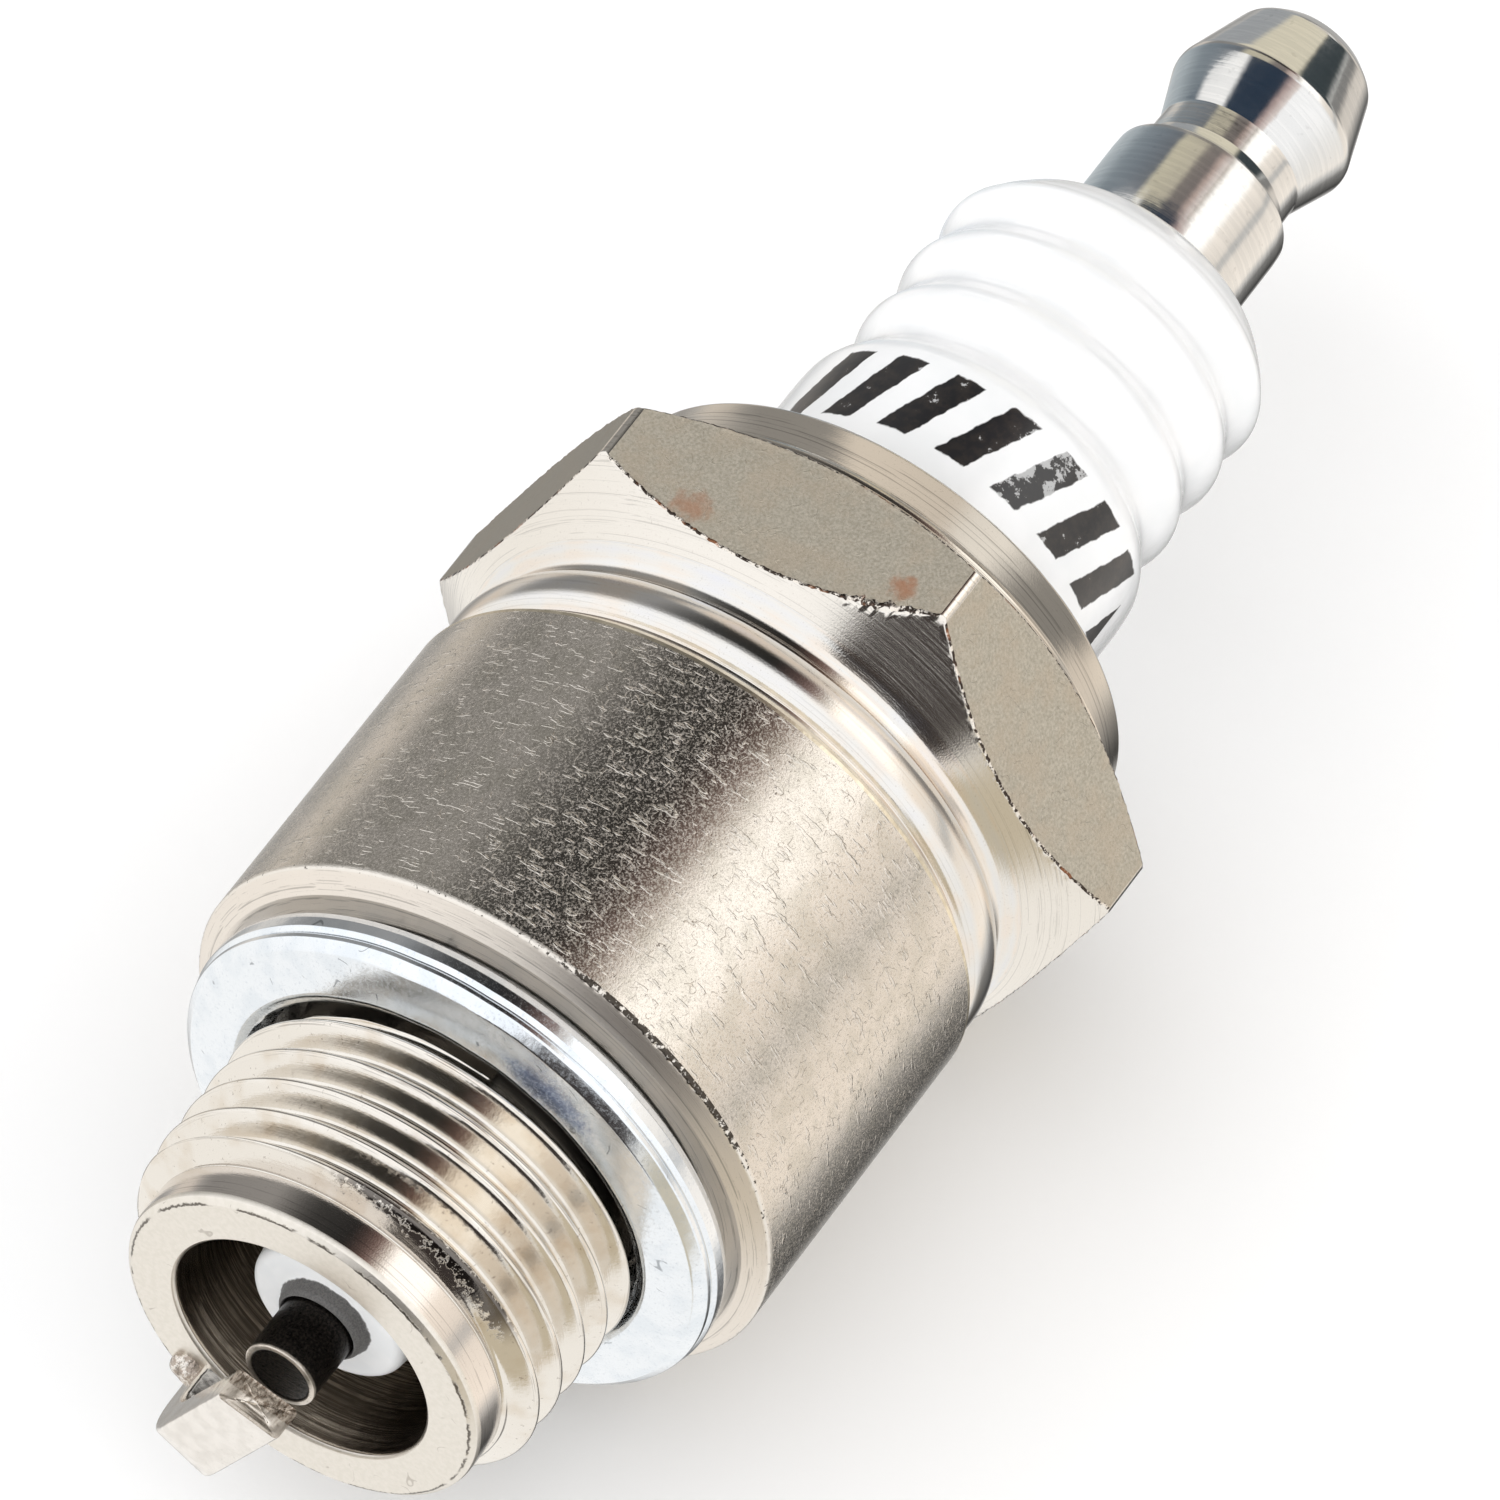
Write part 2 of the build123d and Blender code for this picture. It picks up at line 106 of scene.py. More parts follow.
def spline(points, steps=8):
    """A smooth line through (x, r) points."""
    p = np.array([points[0], *points, points[-1]], float)
    made = []
    for i in range(1, len(p) - 2):
        for k in range(steps):
            t = k / steps
            made.append(0.5 * (2 * p[i] + (p[i + 1] - p[i - 1]) * t
                               + (2 * p[i - 1] - 5 * p[i] + 4 * p[i + 1] - p[i + 2]) * t ** 2
                               + (3 * p[i] - p[i - 1] - 3 * p[i + 1] + p[i + 2]) * t ** 3))
    made.append(p[-2])
    return np.array(made)


def ring_noise(columns, waves, amount, seed):
    """Smooth seeded noise around the axis, one value per column."""
    local = np.random.default_rng(seed)
    angle = np.arange(columns) / columns * 2 * np.pi
    total = np.zeros(columns)
    for wave in waves:
        total += local.normal() * np.sin(wave * angle + local.uniform(0, 2 * np.pi))
    return amount * total / math.sqrt(len(waves))


def make_object(name, points, faces, materials, face_materials=None, sharp=None):
    """A smooth-shaded mesh object from points in millimetres and lists of corner numbers."""
    mesh = bpy.data.meshes.new(name)
    counts = np.concatenate([np.full(len(f), f.shape[1]) for f in faces])
    corners = np.concatenate([f.ravel() for f in faces]).astype(np.int32)
    starts = np.concatenate([[0], np.cumsum(counts)[:-1]]).astype(np.int32)
    mesh.vertices.add(len(points))
    mesh.vertices.foreach_set("co", (np.asarray(points) * MM).astype(np.float32).ravel())
    mesh.loops.add(len(corners))
    mesh.loops.foreach_set("vertex_index", corners)
    mesh.polygons.add(len(counts))
    mesh.polygons.foreach_set("loop_start", starts)
    for material in materials:
        mesh.materials.append(material)
    if face_materials is not None:
        mesh.polygons.foreach_set("material_index", np.asarray(face_materials, np.int32))
    mesh.update(calc_edges=True)
    mesh.validate()
    mesh.polygons.foreach_set("use_smooth", np.ones(len(counts), bool))
    if sharp is not None:
        mesh.set_sharp_from_angle(angle=math.radians(sharp))
    obj = bpy.data.objects.new(name, mesh)
    bpy.context.scene.collection.objects.link(obj)
    return obj


def lathe(name, x, r, materials, zones=None, closed=False):
    """A skin turned around X from arrays of x and r, one row per profile point and one column per angle.
    An open profile starts and ends on the axis. zones gives a material number per band or per face."""
    rows, columns = x.shape
    angle = np.arange(columns) / columns * 2 * np.pi
    grid = np.stack([x, r * np.cos(angle), r * np.sin(angle)], axis=-1)
    number = np.arange(rows * columns).reshape(rows, columns)
    after = np.roll(number, -1, axis=1)
    if closed:
        lower, lower_after = number, after
        upper, upper_after = np.roll(number, -1, axis=0), np.roll(after, -1, axis=0)
    else:
        lower, lower_after = number[:-1], after[:-1]
        upper, upper_after = number[1:], after[1:]
    quads = np.stack([lower, lower_after, upper_after, upper], axis=-1).reshape(-1, 4)
    points = grid.reshape(-1, 3)
    faces = [quads]
    bands = lower.shape[0]
    if zones is None:
        zones = np.zeros(bands, int)
    zones = np.asarray(zones)
    face_zones = zones if zones.ndim == 2 else np.repeat(zones[:, None], columns, axis=1)
    face_zones = face_zones[:bands].ravel()
    if not closed:
        first = len(points)
        points = np.vstack([points, [[x[0].mean(), 0, 0], [x[-1].mean(), 0, 0]]])
        low_cap = np.stack([number[0], np.full(columns, first), after[0]], axis=-1)
        high_cap = np.stack([number[-1], after[-1], np.full(columns, first + 1)], axis=-1)
        faces += [low_cap, high_cap]
        face_zones = np.concatenate([face_zones, np.full(columns, face_zones[0]),
                                     np.full(columns, face_zones[-1])])
    return make_object(name, points, faces, materials, face_zones)


def spread(profile, columns):
    """x and r arrays of a profile that is the same at every angle."""
    profile = np.asarray(profile)
    ones = np.ones(columns)
    return profile[:, :1] * ones, profile[:, 1:2] * ones


def sheet_faces(rows, columns):
    """The quads of an open grid of points."""
    number = np.arange(rows * columns).reshape(rows, columns)
    corners = [number[:-1, :-1], number[1:, :-1], number[1:, 1:], number[:-1, 1:]]
    return np.stack(corners, axis=-1).reshape(-1, 4)


# ---------------------------------------------------------------- materials

class Graph:
    """A material and short calls for its nodes. Lengths in the nodes are in millimetres."""

    def __init__(self, name):
        self.material = bpy.data.materials.new(name)
        self.material.use_nodes = True
        self.tree = self.material.node_tree
        self.shader = self.tree.nodes["Principled BSDF"]
        where = self.node("TexCoord").outputs["Object"]
        self.place = self.node("VectorMath", {0: where, "Scale": 1 / MM}, operation="SCALE").outputs[0]
        parts = self.node("SeparateXYZ", {0: self.place})
        self.x, self.y, self.z = parts.outputs
        square = self.scaled(self.z, self.z, self.times(self.y, self.y))
        self.r = self.calc("SQRT", square)
        self.angle = self.calc("ARCTAN2", self.z, self.y)

    def node(self, kind, inputs=None, **settings):
        made = self.tree.nodes.new("ShaderNode" + kind)
        for key, value in settings.items():
            setattr(made, key, value)
        for key, value in (inputs or {}).items():
            self.put(made.inputs[key], value)
        return made

    def put(self, socket, value):
        if isinstance(value, bpy.types.NodeSocket):
            self.tree.links.new(value, socket)
        else:
            socket.default_value = value

    def calc(self, operation, a, b=0.0, c=0.0):
        return self.node("Math", {0: a, 1: b, 2: c}, operation=operation).outputs[0]

    def times(self, a, b):
        return self.calc("MULTIPLY", a, b)

    def scaled(self, value, factor, plus):
        """value * factor + plus"""
        return self.calc("MULTIPLY_ADD", value, factor, plus)

    def minus(self, a, b):
        return self.calc("SUBTRACT", a, b)

    def away(self, value, middle):
        """How far value is from middle."""
        return self.calc("ABSOLUTE", self.minus(value, middle))

    def off_spot(self, degrees, wide, value, middle, long, noise, ragged):
        """0 in the middle of an oval spot and 1 at its edge, which the noise makes ragged."""
        turn = self.calc("DIVIDE", self.minus(self.angle, math.radians(degrees)), math.radians(wide))
        along = self.calc("DIVIDE", self.minus(value, middle), long)
        return self.scaled(noise, ragged, self.scaled(turn, turn, self.times(along, along)))

    def vector(self, x, y, z):
        return self.node("CombineXYZ", {0: x, 1: y, 2: z}).outputs[0]

    def stretched(self, x=1.0, y=1.0, z=1.0):
        return self.node("VectorMath", {0: self.place, 1: (x, y, z)}, operation="MULTIPLY").outputs[0]

    def noise(self, scale, detail=2.0, roughness=0.5, vector=None):
        made = self.node("TexNoise", {"Vector": self.place if vector is None else vector, "Scale": scale,
                                      "Detail": detail, "Roughness": roughness})
        return made.outputs["Fac"]

    def cells(self, scale):
        return self.node("TexVoronoi", {"Vector": self.place, "Scale": scale}).outputs["Distance"]

    def rings(self, scale, detail=3.0, wander=0.25):
        """Turning marks: noise that changes along the profile and hardly around it."""
        along = self.calc("ADD", self.x, self.times(self.r, 0.83))
        across = self.minus(self.r, self.times(self.x, 0.37))
        slow = self.times(self.noise(0.35), wander)
        return self.noise(scale, detail, 0.65, self.vector(along, across, slow))

    def ramp(self, value, stops):
        made = self.node("ValToRGB", {"Fac": value})
        elements = made.color_ramp.elements
        while len(elements) < len(stops):
            elements.new(0.5)
        for element, (position, colour) in zip(elements, stops):
            element.position = position
            element.color = (*colour, 1.0)
        return made.outputs["Color"]

    def mask(self, value, low, high):
        """0 below low, 1 above high, smooth between. low may be the larger one."""
        return self.node("MapRange", {"Value": value, "From Min": low, "From Max": high},
                         interpolation_type="SMOOTHSTEP").outputs[0]

    def mix(self, share, a, b):
        made = self.node("Mix", {"Factor": share}, data_type="RGBA")
        for socket, value in ((made.inputs[6], a), (made.inputs[7], b)):
            self.put(socket, (*value, 1.0) if isinstance(value, tuple) else value)
        return made.outputs[2]

    def bump(self, height, depth, before=None, strength=1.0):
        """Bump whose full height is depth millimetres."""
        inputs = {"Height": height, "Distance": depth * MM, "Strength": strength}
        if before is not None:
            inputs["Normal"] = before
        return self.node("Bump", inputs).outputs[0]

    def finish(self, colour, roughness, metallic=1.0, normal=None, **extra):
        inputs = {"Base Color": colour, "Roughness": roughness, "Metallic": metallic}
        if normal is not None:
            inputs["Normal"] = normal
        inputs.update(extra)
        for key, value in inputs.items():
            is_colour = key == "Base Color" and isinstance(value, tuple)
            self.put(self.shader.inputs[key], (*value, 1.0) if is_colour else value)
        return self.material


NICKEL_DARK = (0.40, 0.355, 0.315)
STEEL = (0.55, 0.53, 0.50), (0.34, 0.32, 0.30)      # light and dark
GLASS = (0.20, 0.18, 0.16), (0.08, 0.07, 0.06)
RUST = (0.42, 0.17, 0.075)
# angle and x of the middle, reach around and along, strength
RUST_SPOTS = [(76, 16.3, 4.5, 0.8, 0.55), (113, 17.0, 3.0, 0.6, 0.7), (61, 19.3, 2.0, 0.6, 0.9),
              (200, 16.4, 5.0, 0.7, 0.5), (-35, 19.2, 5.0, 0.6, 0.6)]


def hairs(g, scale, width, keep):
    """Thin curved scratches: short stretches of a noise's contour lines."""
    level = g.noise(scale, 1.0, 0.5)
    line = g.mask(g.away(level, 0.5), width, width * 0.3)
    return g.times(line, g.mask(g.noise(scale * 1.7, 1.0), keep, keep + 0.05))


def barrel_nickel():
    """Barrel plate: bright under a fine grain, with short curved scratches, most of them around the axis."""
    g = Graph("barrel_nickel")
    around = g.vector(g.times(g.x, 1.9), g.times(g.angle, 5.0), g.times(g.x, 0.4))
    grain = g.noise(13.0, 3.0, 0.65)
    speck = g.noise(20.0, 2.0, 0.6)
    coarse = g.noise(0.9, 3.0, 0.6)
    dashes = g.mask(g.noise(2.4, 2.0, 0.6, around), 0.60, 0.68)
    curls = hairs(g, 1.7, 0.012, 0.52)
    frayed = hairs(g, 4.2, 0.020, 0.52)
    pits = g.mask(speck, 0.66, 0.74)
    tone = g.mix(g.mask(coarse, 0.42, 0.62), (0.72, 0.672, 0.610), (0.64, 0.60, 0.535))
    tone = g.mix(g.times(g.mask(grain, 0.46, 0.36), 0.5), tone, (0.33, 0.30, 0.26))
    tone = g.mix(g.times(curls, 0.45), tone, (0.50, 0.43, 0.36))
    rough = g.scaled(g.mask(grain, 0.48, 0.62), 0.22, 0.16)
    normal = g.bump(grain, 0.0048)
    normal = g.bump(pits, 0.004, normal)
    normal = g.bump(dashes, 0.012, normal)
    normal = g.bump(curls, 0.008, normal)
    normal = g.bump(frayed, 0.0028, normal)
    return g.finish(tone, rough, normal=normal)


def turned_nickel(name, base, rough, ring_scale, ring_depth, tint=0.0, lines=0.35):
    """Turned plate with ring_depth millimetres of marks; tint is the share of heat colours."""
    g = Graph(name)
    rings = g.rings(ring_scale)
    coarse = g.rings(ring_scale * 0.3, 2.0)
    tone = g.mix(g.times(g.mask(rings, 0.44, 0.34), lines), base, tuple(c * 0.45 for c in base))
    if tint:
        heat = g.ramp(g.scaled(g.noise(0.5), 0.5, g.times(coarse, 0.5)),
                      [(0.3, (0.66, 0.69, 0.78)), (0.45, (0.74, 0.73, 0.70)), (0.55, (0.80, 0.68, 0.56)),
                       (0.7, (0.72, 0.67, 0.72))])
        tone = g.mix(tint, tone, heat)
    tone = g.mix(g.times(g.mask(g.noise(14.0, 3.0), 0.62, 0.72), 0.3), tone, NICKEL_DARK)
    roughness = g.scaled(coarse, 0.10, rough - 0.05)
    normal = g.bump(rings, ring_depth)
    normal = g.bump(coarse, ring_depth * 1.6, normal)
    normal = g.bump(g.noise(18.0, 2.0), 0.002, normal)
    return g.finish(tone, roughness, normal=normal)


def end_nickel():
    """Front face: smooth and bright, with a thin ragged dark line of nicks along its outer edge."""
    g = Graph("end_face_nickel")
    fine = g.noise(5.0, 3.0, 0.6)
    tone = g.mix(g.mask(fine, 0.35, 0.65), (0.79, 0.745, 0.68), (0.74, 0.70, 0.63))
    ragged = g.scaled(g.noise(4.5, 3.0, 0.65), 0.16, g.r)
    line = g.times(g.mask(ragged, 5.90, 5.93), g.mask(ragged, 6.00, 5.96))
    line = g.times(line, g.mask(g.noise(1.1, 2.0), 0.40, 0.50))
    tone = g.mix(g.times(line, 0.9), tone, (0.10, 0.085, 0.07))
    nicks = g.times(hairs(g, 0.9, 0.008, 0.60), 0.5)
    tone = g.mix(nicks, tone, (0.34, 0.30, 0.26))
    normal = g.bump(g.rings(6.0), 0.002)
    normal = g.bump(fine, 0.004, normal)
    normal = g.bump(line, -0.02, normal)
    return g.finish(tone, 0.33, normal=normal)


def thread_nickel():
    """Rolled thread: polished flanks, a little brown, with fine marks along the crests."""
    g = Graph("thread_nickel")
    lines = g.rings(16.0, 3.0, 0.15)
    brown = g.mask(g.noise(0.8, 3.0), 0.45, 0.70)
    tone = g.mix(g.times(brown, 0.6), (0.76, 0.72, 0.66), (0.64, 0.56, 0.46))
    crest = g.mask(g.r, 6.80, 6.90)
    tone = g.mix(g.times(g.mask(lines, 0.52, 0.62), g.times(crest, 0.6)), tone,
                 (0.26, 0.23, 0.20))
    tone = g.mix(g.times(g.mask(g.noise(5.0, 4.0, 0.7), 0.62, 0.70), 0.5), tone, (0.22, 0.18, 0.15))
    # painted dark reflection: a ragged black patch on the first turns around 123 degrees, with a little
    # relief
    ragged = g.scaled(g.noise(4.0, 4.0, 0.7), 0.9, g.x)
    torn = g.times(g.mask(ragged, -7.45, -7.35), g.mask(ragged, -7.02, -7.12))
    torn = g.times(torn, g.mask(g.away(g.angle, 2.15), 0.62, 0.40))
    tone = g.mix(g.times(torn, 0.85), tone, (0.06, 0.05, 0.045))
    normal = g.bump(lines, 0.002)
    normal = g.bump(g.noise(7.0, 2.0), 0.003, normal)
    normal = g.bump(torn, 0.010, normal)
    return g.finish(tone, g.scaled(g.noise(2.0), 0.08, 0.07), normal=normal)


def flat_nickel():
    """The hexagon's flats: forged grain with rust at some edges."""
    g = Graph("hex_flat_nickel")
    grain = g.noise(11.0, 4.0, 0.75)
    speck = g.noise(22.0, 2.0, 0.7)
    patches = g.noise(0.7, 4.0, 0.65)
    tone = g.mix(g.mask(grain, 0.36, 0.64), (0.38, 0.345, 0.275), (0.55, 0.505, 0.42))
    tone = g.mix(g.mask(patches, 0.42, 0.66), tone, g.mix(0.5, tone, (0.50, 0.42, 0.32)))
    tone = g.mix(g.times(g.mask(speck, 0.58, 0.70), 0.55), tone, (0.16, 0.135, 0.11))
    bright = g.mask(g.minus(1.0, speck), 0.60, 0.70)
    tone = g.mix(g.times(bright, 0.4), tone, (0.80, 0.76, 0.69))
    # painted shade: the flat around 30 degrees is darkened
    shaded_flat = g.mask(g.away(g.angle, math.radians(30)), 0.54, 0.50)
    tone = g.mix(g.times(shaded_flat, 0.6), tone, (0.13, 0.12, 0.105))
    for turn, x, wide, long, share in RUST_SPOTS:
        off = g.off_spot(turn, wide, g.x, x, long, g.noise(3.0, 3.0, 0.6), 1.6)
        stain = g.times(g.mask(off, 1.7, 0.7), share)
        tone = g.mix(stain, tone, RUST)
    rough = g.scaled(grain, 0.20, 0.40)
    normal = g.bump(grain, 0.014)
    normal = g.bump(speck, 0.004, normal)
    normal = g.bump(hairs(g, 1.3, 0.014, 0.52), 0.012, normal)
    normal = g.bump(g.noise(1.6, 2.0), 0.03, normal)
    return g.finish(tone, rough, 0.6, normal=normal)


def edge_nickel():
    """Burrs along the hexagon's edges: bright metal with black and rusty chips."""
    g = Graph("hex_burr_nickel")
    chips = g.noise(4.5, 3.0, 0.7)
    tone = g.mix(g.mask(chips, 0.44, 0.52), (0.80, 0.74, 0.66), (0.055, 0.042, 0.035))
    tone = g.mix(g.times(g.mask(g.noise(1.3), 0.56, 0.64), 0.5), tone, RUST)
    normal = g.bump(chips, 0.04)
    return g.finish(tone, g.scaled(chips, 0.3, 0.15), normal=normal)


def nicked_nickel():
    """The sharp edge between shoulder and barrel, black where it is nicked."""
    g = Graph("barrel_edge_nickel")
    chips = g.noise(6.0, 4.0, 0.7)
    worst = g.mask(g.away(g.angle, math.radians(130)), 0.60, 0.20)
    limit = g.scaled(worst, 0.20, g.minus(chips, 0.10))
    tone = g.mix(g.mask(limit, 0.50, 0.56), (0.78, 0.735, 0.67), (0.07, 0.06, 0.05))
    return g.finish(tone, 0.30, normal=g.bump(chips, 0.02))


def bevel_nickel():
    g = Graph("barrel_bevel_nickel")
    tone = g.mix(g.mask(g.noise(2.0, 3.0), 0.35, 0.65), (0.84, 0.76, 0.60), (0.66, 0.59, 0.46))
    return g.finish(tone, 0.28, normal=g.bump(g.noise(8.0, 3.0), 0.01))


def bore_nickel():
    g = Graph("bore_nickel")
    rings = g.rings(13.0, 3.0, 0.3)
    soot = g.mask(g.noise(0.7, 3.0), 0.35, 0.65)
    tone = g.mix(g.mask(rings, 0.44, 0.60), (0.20, 0.165, 0.13), (0.66, 0.58, 0.48))
    tone = g.mix(g.times(soot, 0.5), tone, (0.17, 0.14, 0.11))
    normal = g.bump(rings, 0.02)
    return g.finish(tone, 0.26, normal=normal)


def zinc_plate():
    """Bright zinc: smooth and bluish under a faint crystal grain, with a few dark nicks."""
    g = Graph("gasket_zinc")
    mottle = g.noise(1.1, 2.0, 0.5)
    fine = g.noise(9.0, 4.0, 0.7)
    tone = g.mix(g.mask(mottle, 0.40, 0.65), (0.80, 0.83, 0.86), (0.74, 0.78, 0.82))
    tone = g.mix(g.times(g.mask(fine, 0.56, 0.68), 0.35), tone, (0.55, 0.60, 0.68))
    # painted reflection: a dark blue patch on the front face, where it would mirror the dark part of the
    # studio
    off = g.off_spot(121, 15, g.r, 7.85, 0.62, g.noise(3.5, 4.0, 0.7), 1.4)
    reflection_patch = g.times(g.mask(off, 1.75, 0.75), g.mask(g.x, -1.7, -1.8))
    reflected_navy = g.mix(g.mask(fine, 0.40, 0.62), (0.13, 0.17, 0.29), (0.36, 0.42, 0.55))
    tone = g.mix(g.times(reflection_patch, 0.85), tone, reflected_navy)
    nicks = hairs(g, 0.8, 0.012, 0.62)
    tone = g.mix(g.times(nicks, 0.8), tone, (0.30, 0.32, 0.34))
    rough = g.scaled(g.mask(fine, 0.45, 0.65), 0.12, 0.12)
    normal = g.bump(fine, 0.0022)
    normal = g.bump(mottle, 0.012, normal)
    return g.finish(tone, rough, normal=normal)


def glazed_ceramic():
    """White glaze with a printed band of plain slanted bars, the ink worn in places."""
    g = Graph("glazed_ceramic")
    arc = g.times(g.angle, INSULATOR_R)
    slant = g.scaled(g.x, -0.42, arc)
    wobble = g.times(g.minus(g.noise(2.4, 2.0), 0.5), 0.20)
    step = g.calc("FRACT", g.calc("DIVIDE", g.calc("ADD", slant, wobble), 2.05))
    bar = g.times(g.mask(step, 0.0, 0.03), g.mask(step, 0.55, 0.52))
    band = g.times(g.mask(g.calc("ADD", g.x, wobble), 24.75, 24.83),
                  g.mask(g.calc("ADD", g.x, wobble), 27.65, 27.57))
    side = g.mask(g.away(g.angle, 2.15), 1.42, 1.40)
    flaws = g.noise(1.8, 4.0, 0.7)
    thin = g.mask(g.away(g.angle, math.radians(124)), 0.26, 0.14)
    worn = g.times(g.mask(g.scaled(thin, 0.12, flaws), 0.62, 0.68), 0.5)
    ink = g.times(g.times(bar, band), side)
    ink = g.times(ink, g.minus(1.0, worn))
    glaze = g.mix(g.mask(g.noise(0.6, 2.0), 0.4, 0.6), (0.89, 0.895, 0.90), (0.86, 0.87, 0.875))
    # painted shade: a dark brown ring on the glaze where it meets the terminal collar
    crevice_shade = g.times(g.mask(g.r, 3.34, 3.22), g.mask(g.x, 36.8, 37.0))
    glaze = g.mix(g.times(crevice_shade, 0.9), glaze, (0.10, 0.075, 0.05))
    tone = g.mix(ink, glaze, g.mix(g.mask(flaws, 0.40, 0.62), (0.010, 0.010, 0.012), (0.024, 0.020, 0.018)))
    normal = g.bump(ink, 0.012)
    normal = g.bump(g.noise(1.4, 2.0), 0.015, normal)
    rough = g.scaled(ink, 0.20, 0.13)
    return g.finish(tone, rough, 0.0, normal, **{"Subsurface Weight": 0.12, "Subsurface Radius": (1, 1, 1),
                                                  "Subsurface Scale": 0.6 * MM, "Coat Weight": 0.4,
                                                  "Coat Roughness": 0.06})


def bisque_ceramic():
    g = Graph("bisque_ceramic")
    fine = g.noise(18.0, 3.0, 0.6)
    tone = g.mix(g.mask(g.noise(1.2, 2.0), 0.4, 0.6), (0.95, 0.955, 0.95), (0.91, 0.92, 0.92))
    ragged = g.scaled(g.noise(3.0, 3.0), 0.16, g.r)
    # a ragged grey ring on the nose face around the pin
    grey_ring = g.times(g.mask(ragged, 1.66, 1.60), g.mask(g.x, -7.9, -8.0))
    tone = g.mix(grey_ring, tone, g.mix(g.mask(fine, 0.4, 0.6), (0.15, 0.145, 0.14), (0.10, 0.098, 0.095)))
    return g.finish(tone, 0.55, 0.0, g.bump(fine, 0.01))


def strap_nickel():
    g = Graph("strap_nickel")
    fine = g.noise(12.0, 3.0, 0.6)
    drawn = g.noise(1.6, 2.0, 0.5)
    tone = g.mix(g.mask(drawn, 0.35, 0.7), (0.82, 0.785, 0.74), (0.74, 0.705, 0.66))
    tone = g.mix(g.times(g.mask(fine, 0.60, 0.72), 0.25), tone, (0.42, 0.39, 0.35))
    normal = g.bump(fine, 0.004)
    normal = g.bump(drawn, 0.05, normal)
    return g.finish(tone, g.scaled(drawn, 0.10, 0.18), normal=normal)


def sheared_nickel():
    """The strap's sheared end: coarse torn grain, a little brown."""
    g = Graph("sheared_nickel")
    torn = g.noise(7.0, 4.0, 0.75, g.stretched(0.6, 1.6, 1.6))
    tone = g.mix(g.mask(torn, 0.38, 0.60), (0.20, 0.15, 0.11), (0.66, 0.58, 0.49))
    outer = g.mask(g.scaled(torn, 0.10, g.x), -11.82, -11.86)
    burnished = g.mix(g.mask(torn, 0.25, 0.50), (0.55, 0.48, 0.40), (0.82, 0.76, 0.68))
    tone = g.mix(outer, tone, burnished)
    depth = g.scaled(outer, -0.75, 1.0)
    normal = g.bump(torn, 0.035, strength=depth)
    return g.finish(tone, g.scaled(torn, 0.2, 0.26), normal=normal)


def weld_nickel():
    g = Graph("weld_nickel")
    blobs = g.noise(4.0, 3.0, 0.65)
    tone = g.mix(g.mask(blobs, 0.42, 0.60), (0.40, 0.34, 0.29), (0.80, 0.75, 0.69))
    normal = g.bump(blobs, 0.08)
    return g.finish(tone, g.scaled(blobs, 0.2, 0.16), normal=normal)


def electrode_black():
    g = Graph("electrode_oxide")
    fine = g.noise(12.0, 3.0, 0.6)
    tip = g.mask(g.x, -10.52, -10.60)
    ground = g.noise(10.0, 2.0, 0.6, g.stretched(1.0, 0.25, 1.0))
    tone = g.mix(g.mask(fine, 0.4, 0.7), (0.012, 0.011, 0.010), (0.05, 0.042, 0.036))
    rim = g.times(tip, g.mask(g.r, 0.99, 1.06))
    tone = g.mix(rim, tone, g.mix(g.mask(g.noise(1.2), 0.4, 0.6), (0.66, 0.60, 0.53), (0.30, 0.27, 0.23)))
    normal = g.bump(g.noise(16.0, 2.0), 0.006)
    normal = g.bump(ground, 0.012, normal)
    return g.finish(tone, g.scaled(fine, 0.15, 0.22), 0.85, normal)


def terminal_chrome():
    g = Graph("terminal_plate")
    rings = g.rings(7.0, 2.0, 0.5)
    tone = g.mix(g.mask(rings, 0.40, 0.65), (0.68, 0.675, 0.66), (0.74, 0.73, 0.71))
    tone = g.mix(g.times(g.mask(g.noise(4.0, 3.0), 0.64, 0.72), 0.25), tone, (0.44, 0.43, 0.42))
    normal = g.bump(rings, 0.0015)
    normal = g.bump(g.noise(1.5, 2.0), 0.006, normal)
    return g.finish(tone, g.scaled(g.noise(6.0, 3.0), 0.06, 0.09), normal=normal)


def plain_metal(name, light, dark, rough):
    g = Graph(name)
    grain = g.noise(6.0, 4.0, 0.65)
    tone = g.mix(g.mask(grain, 0.38, 0.62), dark, light)
    return g.finish(tone, g.scaled(grain, 0.2, rough - 0.1), normal=g.bump(grain, 0.02))


def plain_solid(name, light, dark, rough):
    g = Graph(name)
    grain = g.noise(8.0, 4.0, 0.7)
    specks = g.cells(8.0 * 0.6)
    tone = g.mix(g.mask(grain, 0.38, 0.62), dark, light)
    tone = g.mix(g.times(g.mask(specks, 0.25, 0.12), 0.4), tone, dark)
    return g.finish(tone, rough, 0.0, g.bump(grain, 0.03))


# ---------------------------------------------------------------- shell

def thread_radius(x, angle):
    """Radius of the rolled thread, with rounded crests and roots, inside its chamfers."""
    depth = THREAD_R - THREAD_ROOT_R
    turn = (x - THREAD_START_X) / THREAD_PITCH - angle / (2 * np.pi)
    from_root = np.abs((turn + 0.5) % 1.0 - 0.5) * THREAD_PITCH
    height = (from_root - 0.097) / math.tan(math.radians(30))
    softness = 0.07
    height = softness * np.log1p(np.exp(np.clip(height / softness, -40, 40)))
    height = depth - softness * np.log1p(np.exp(np.clip((depth - height) / softness, -40, 40)))
    height = np.maximum(height + softness * math.log(2) * 0.3, 0)
    radius = THREAD_ROOT_R + np.minimum(height, depth)
    start = 6.1 + (x + 8.1) * (THREAD_R - 6.1) / 0.28
    turn_out = -2.45 + 0.3 * np.mod(angle / (2 * np.pi) - 0.3, 1.0)
    end = THREAD_R - (x - turn_out) * (THREAD_R - 6.0) / 0.25
    return np.clip(np.minimum(np.minimum(radius, start), end), 6.0, None)


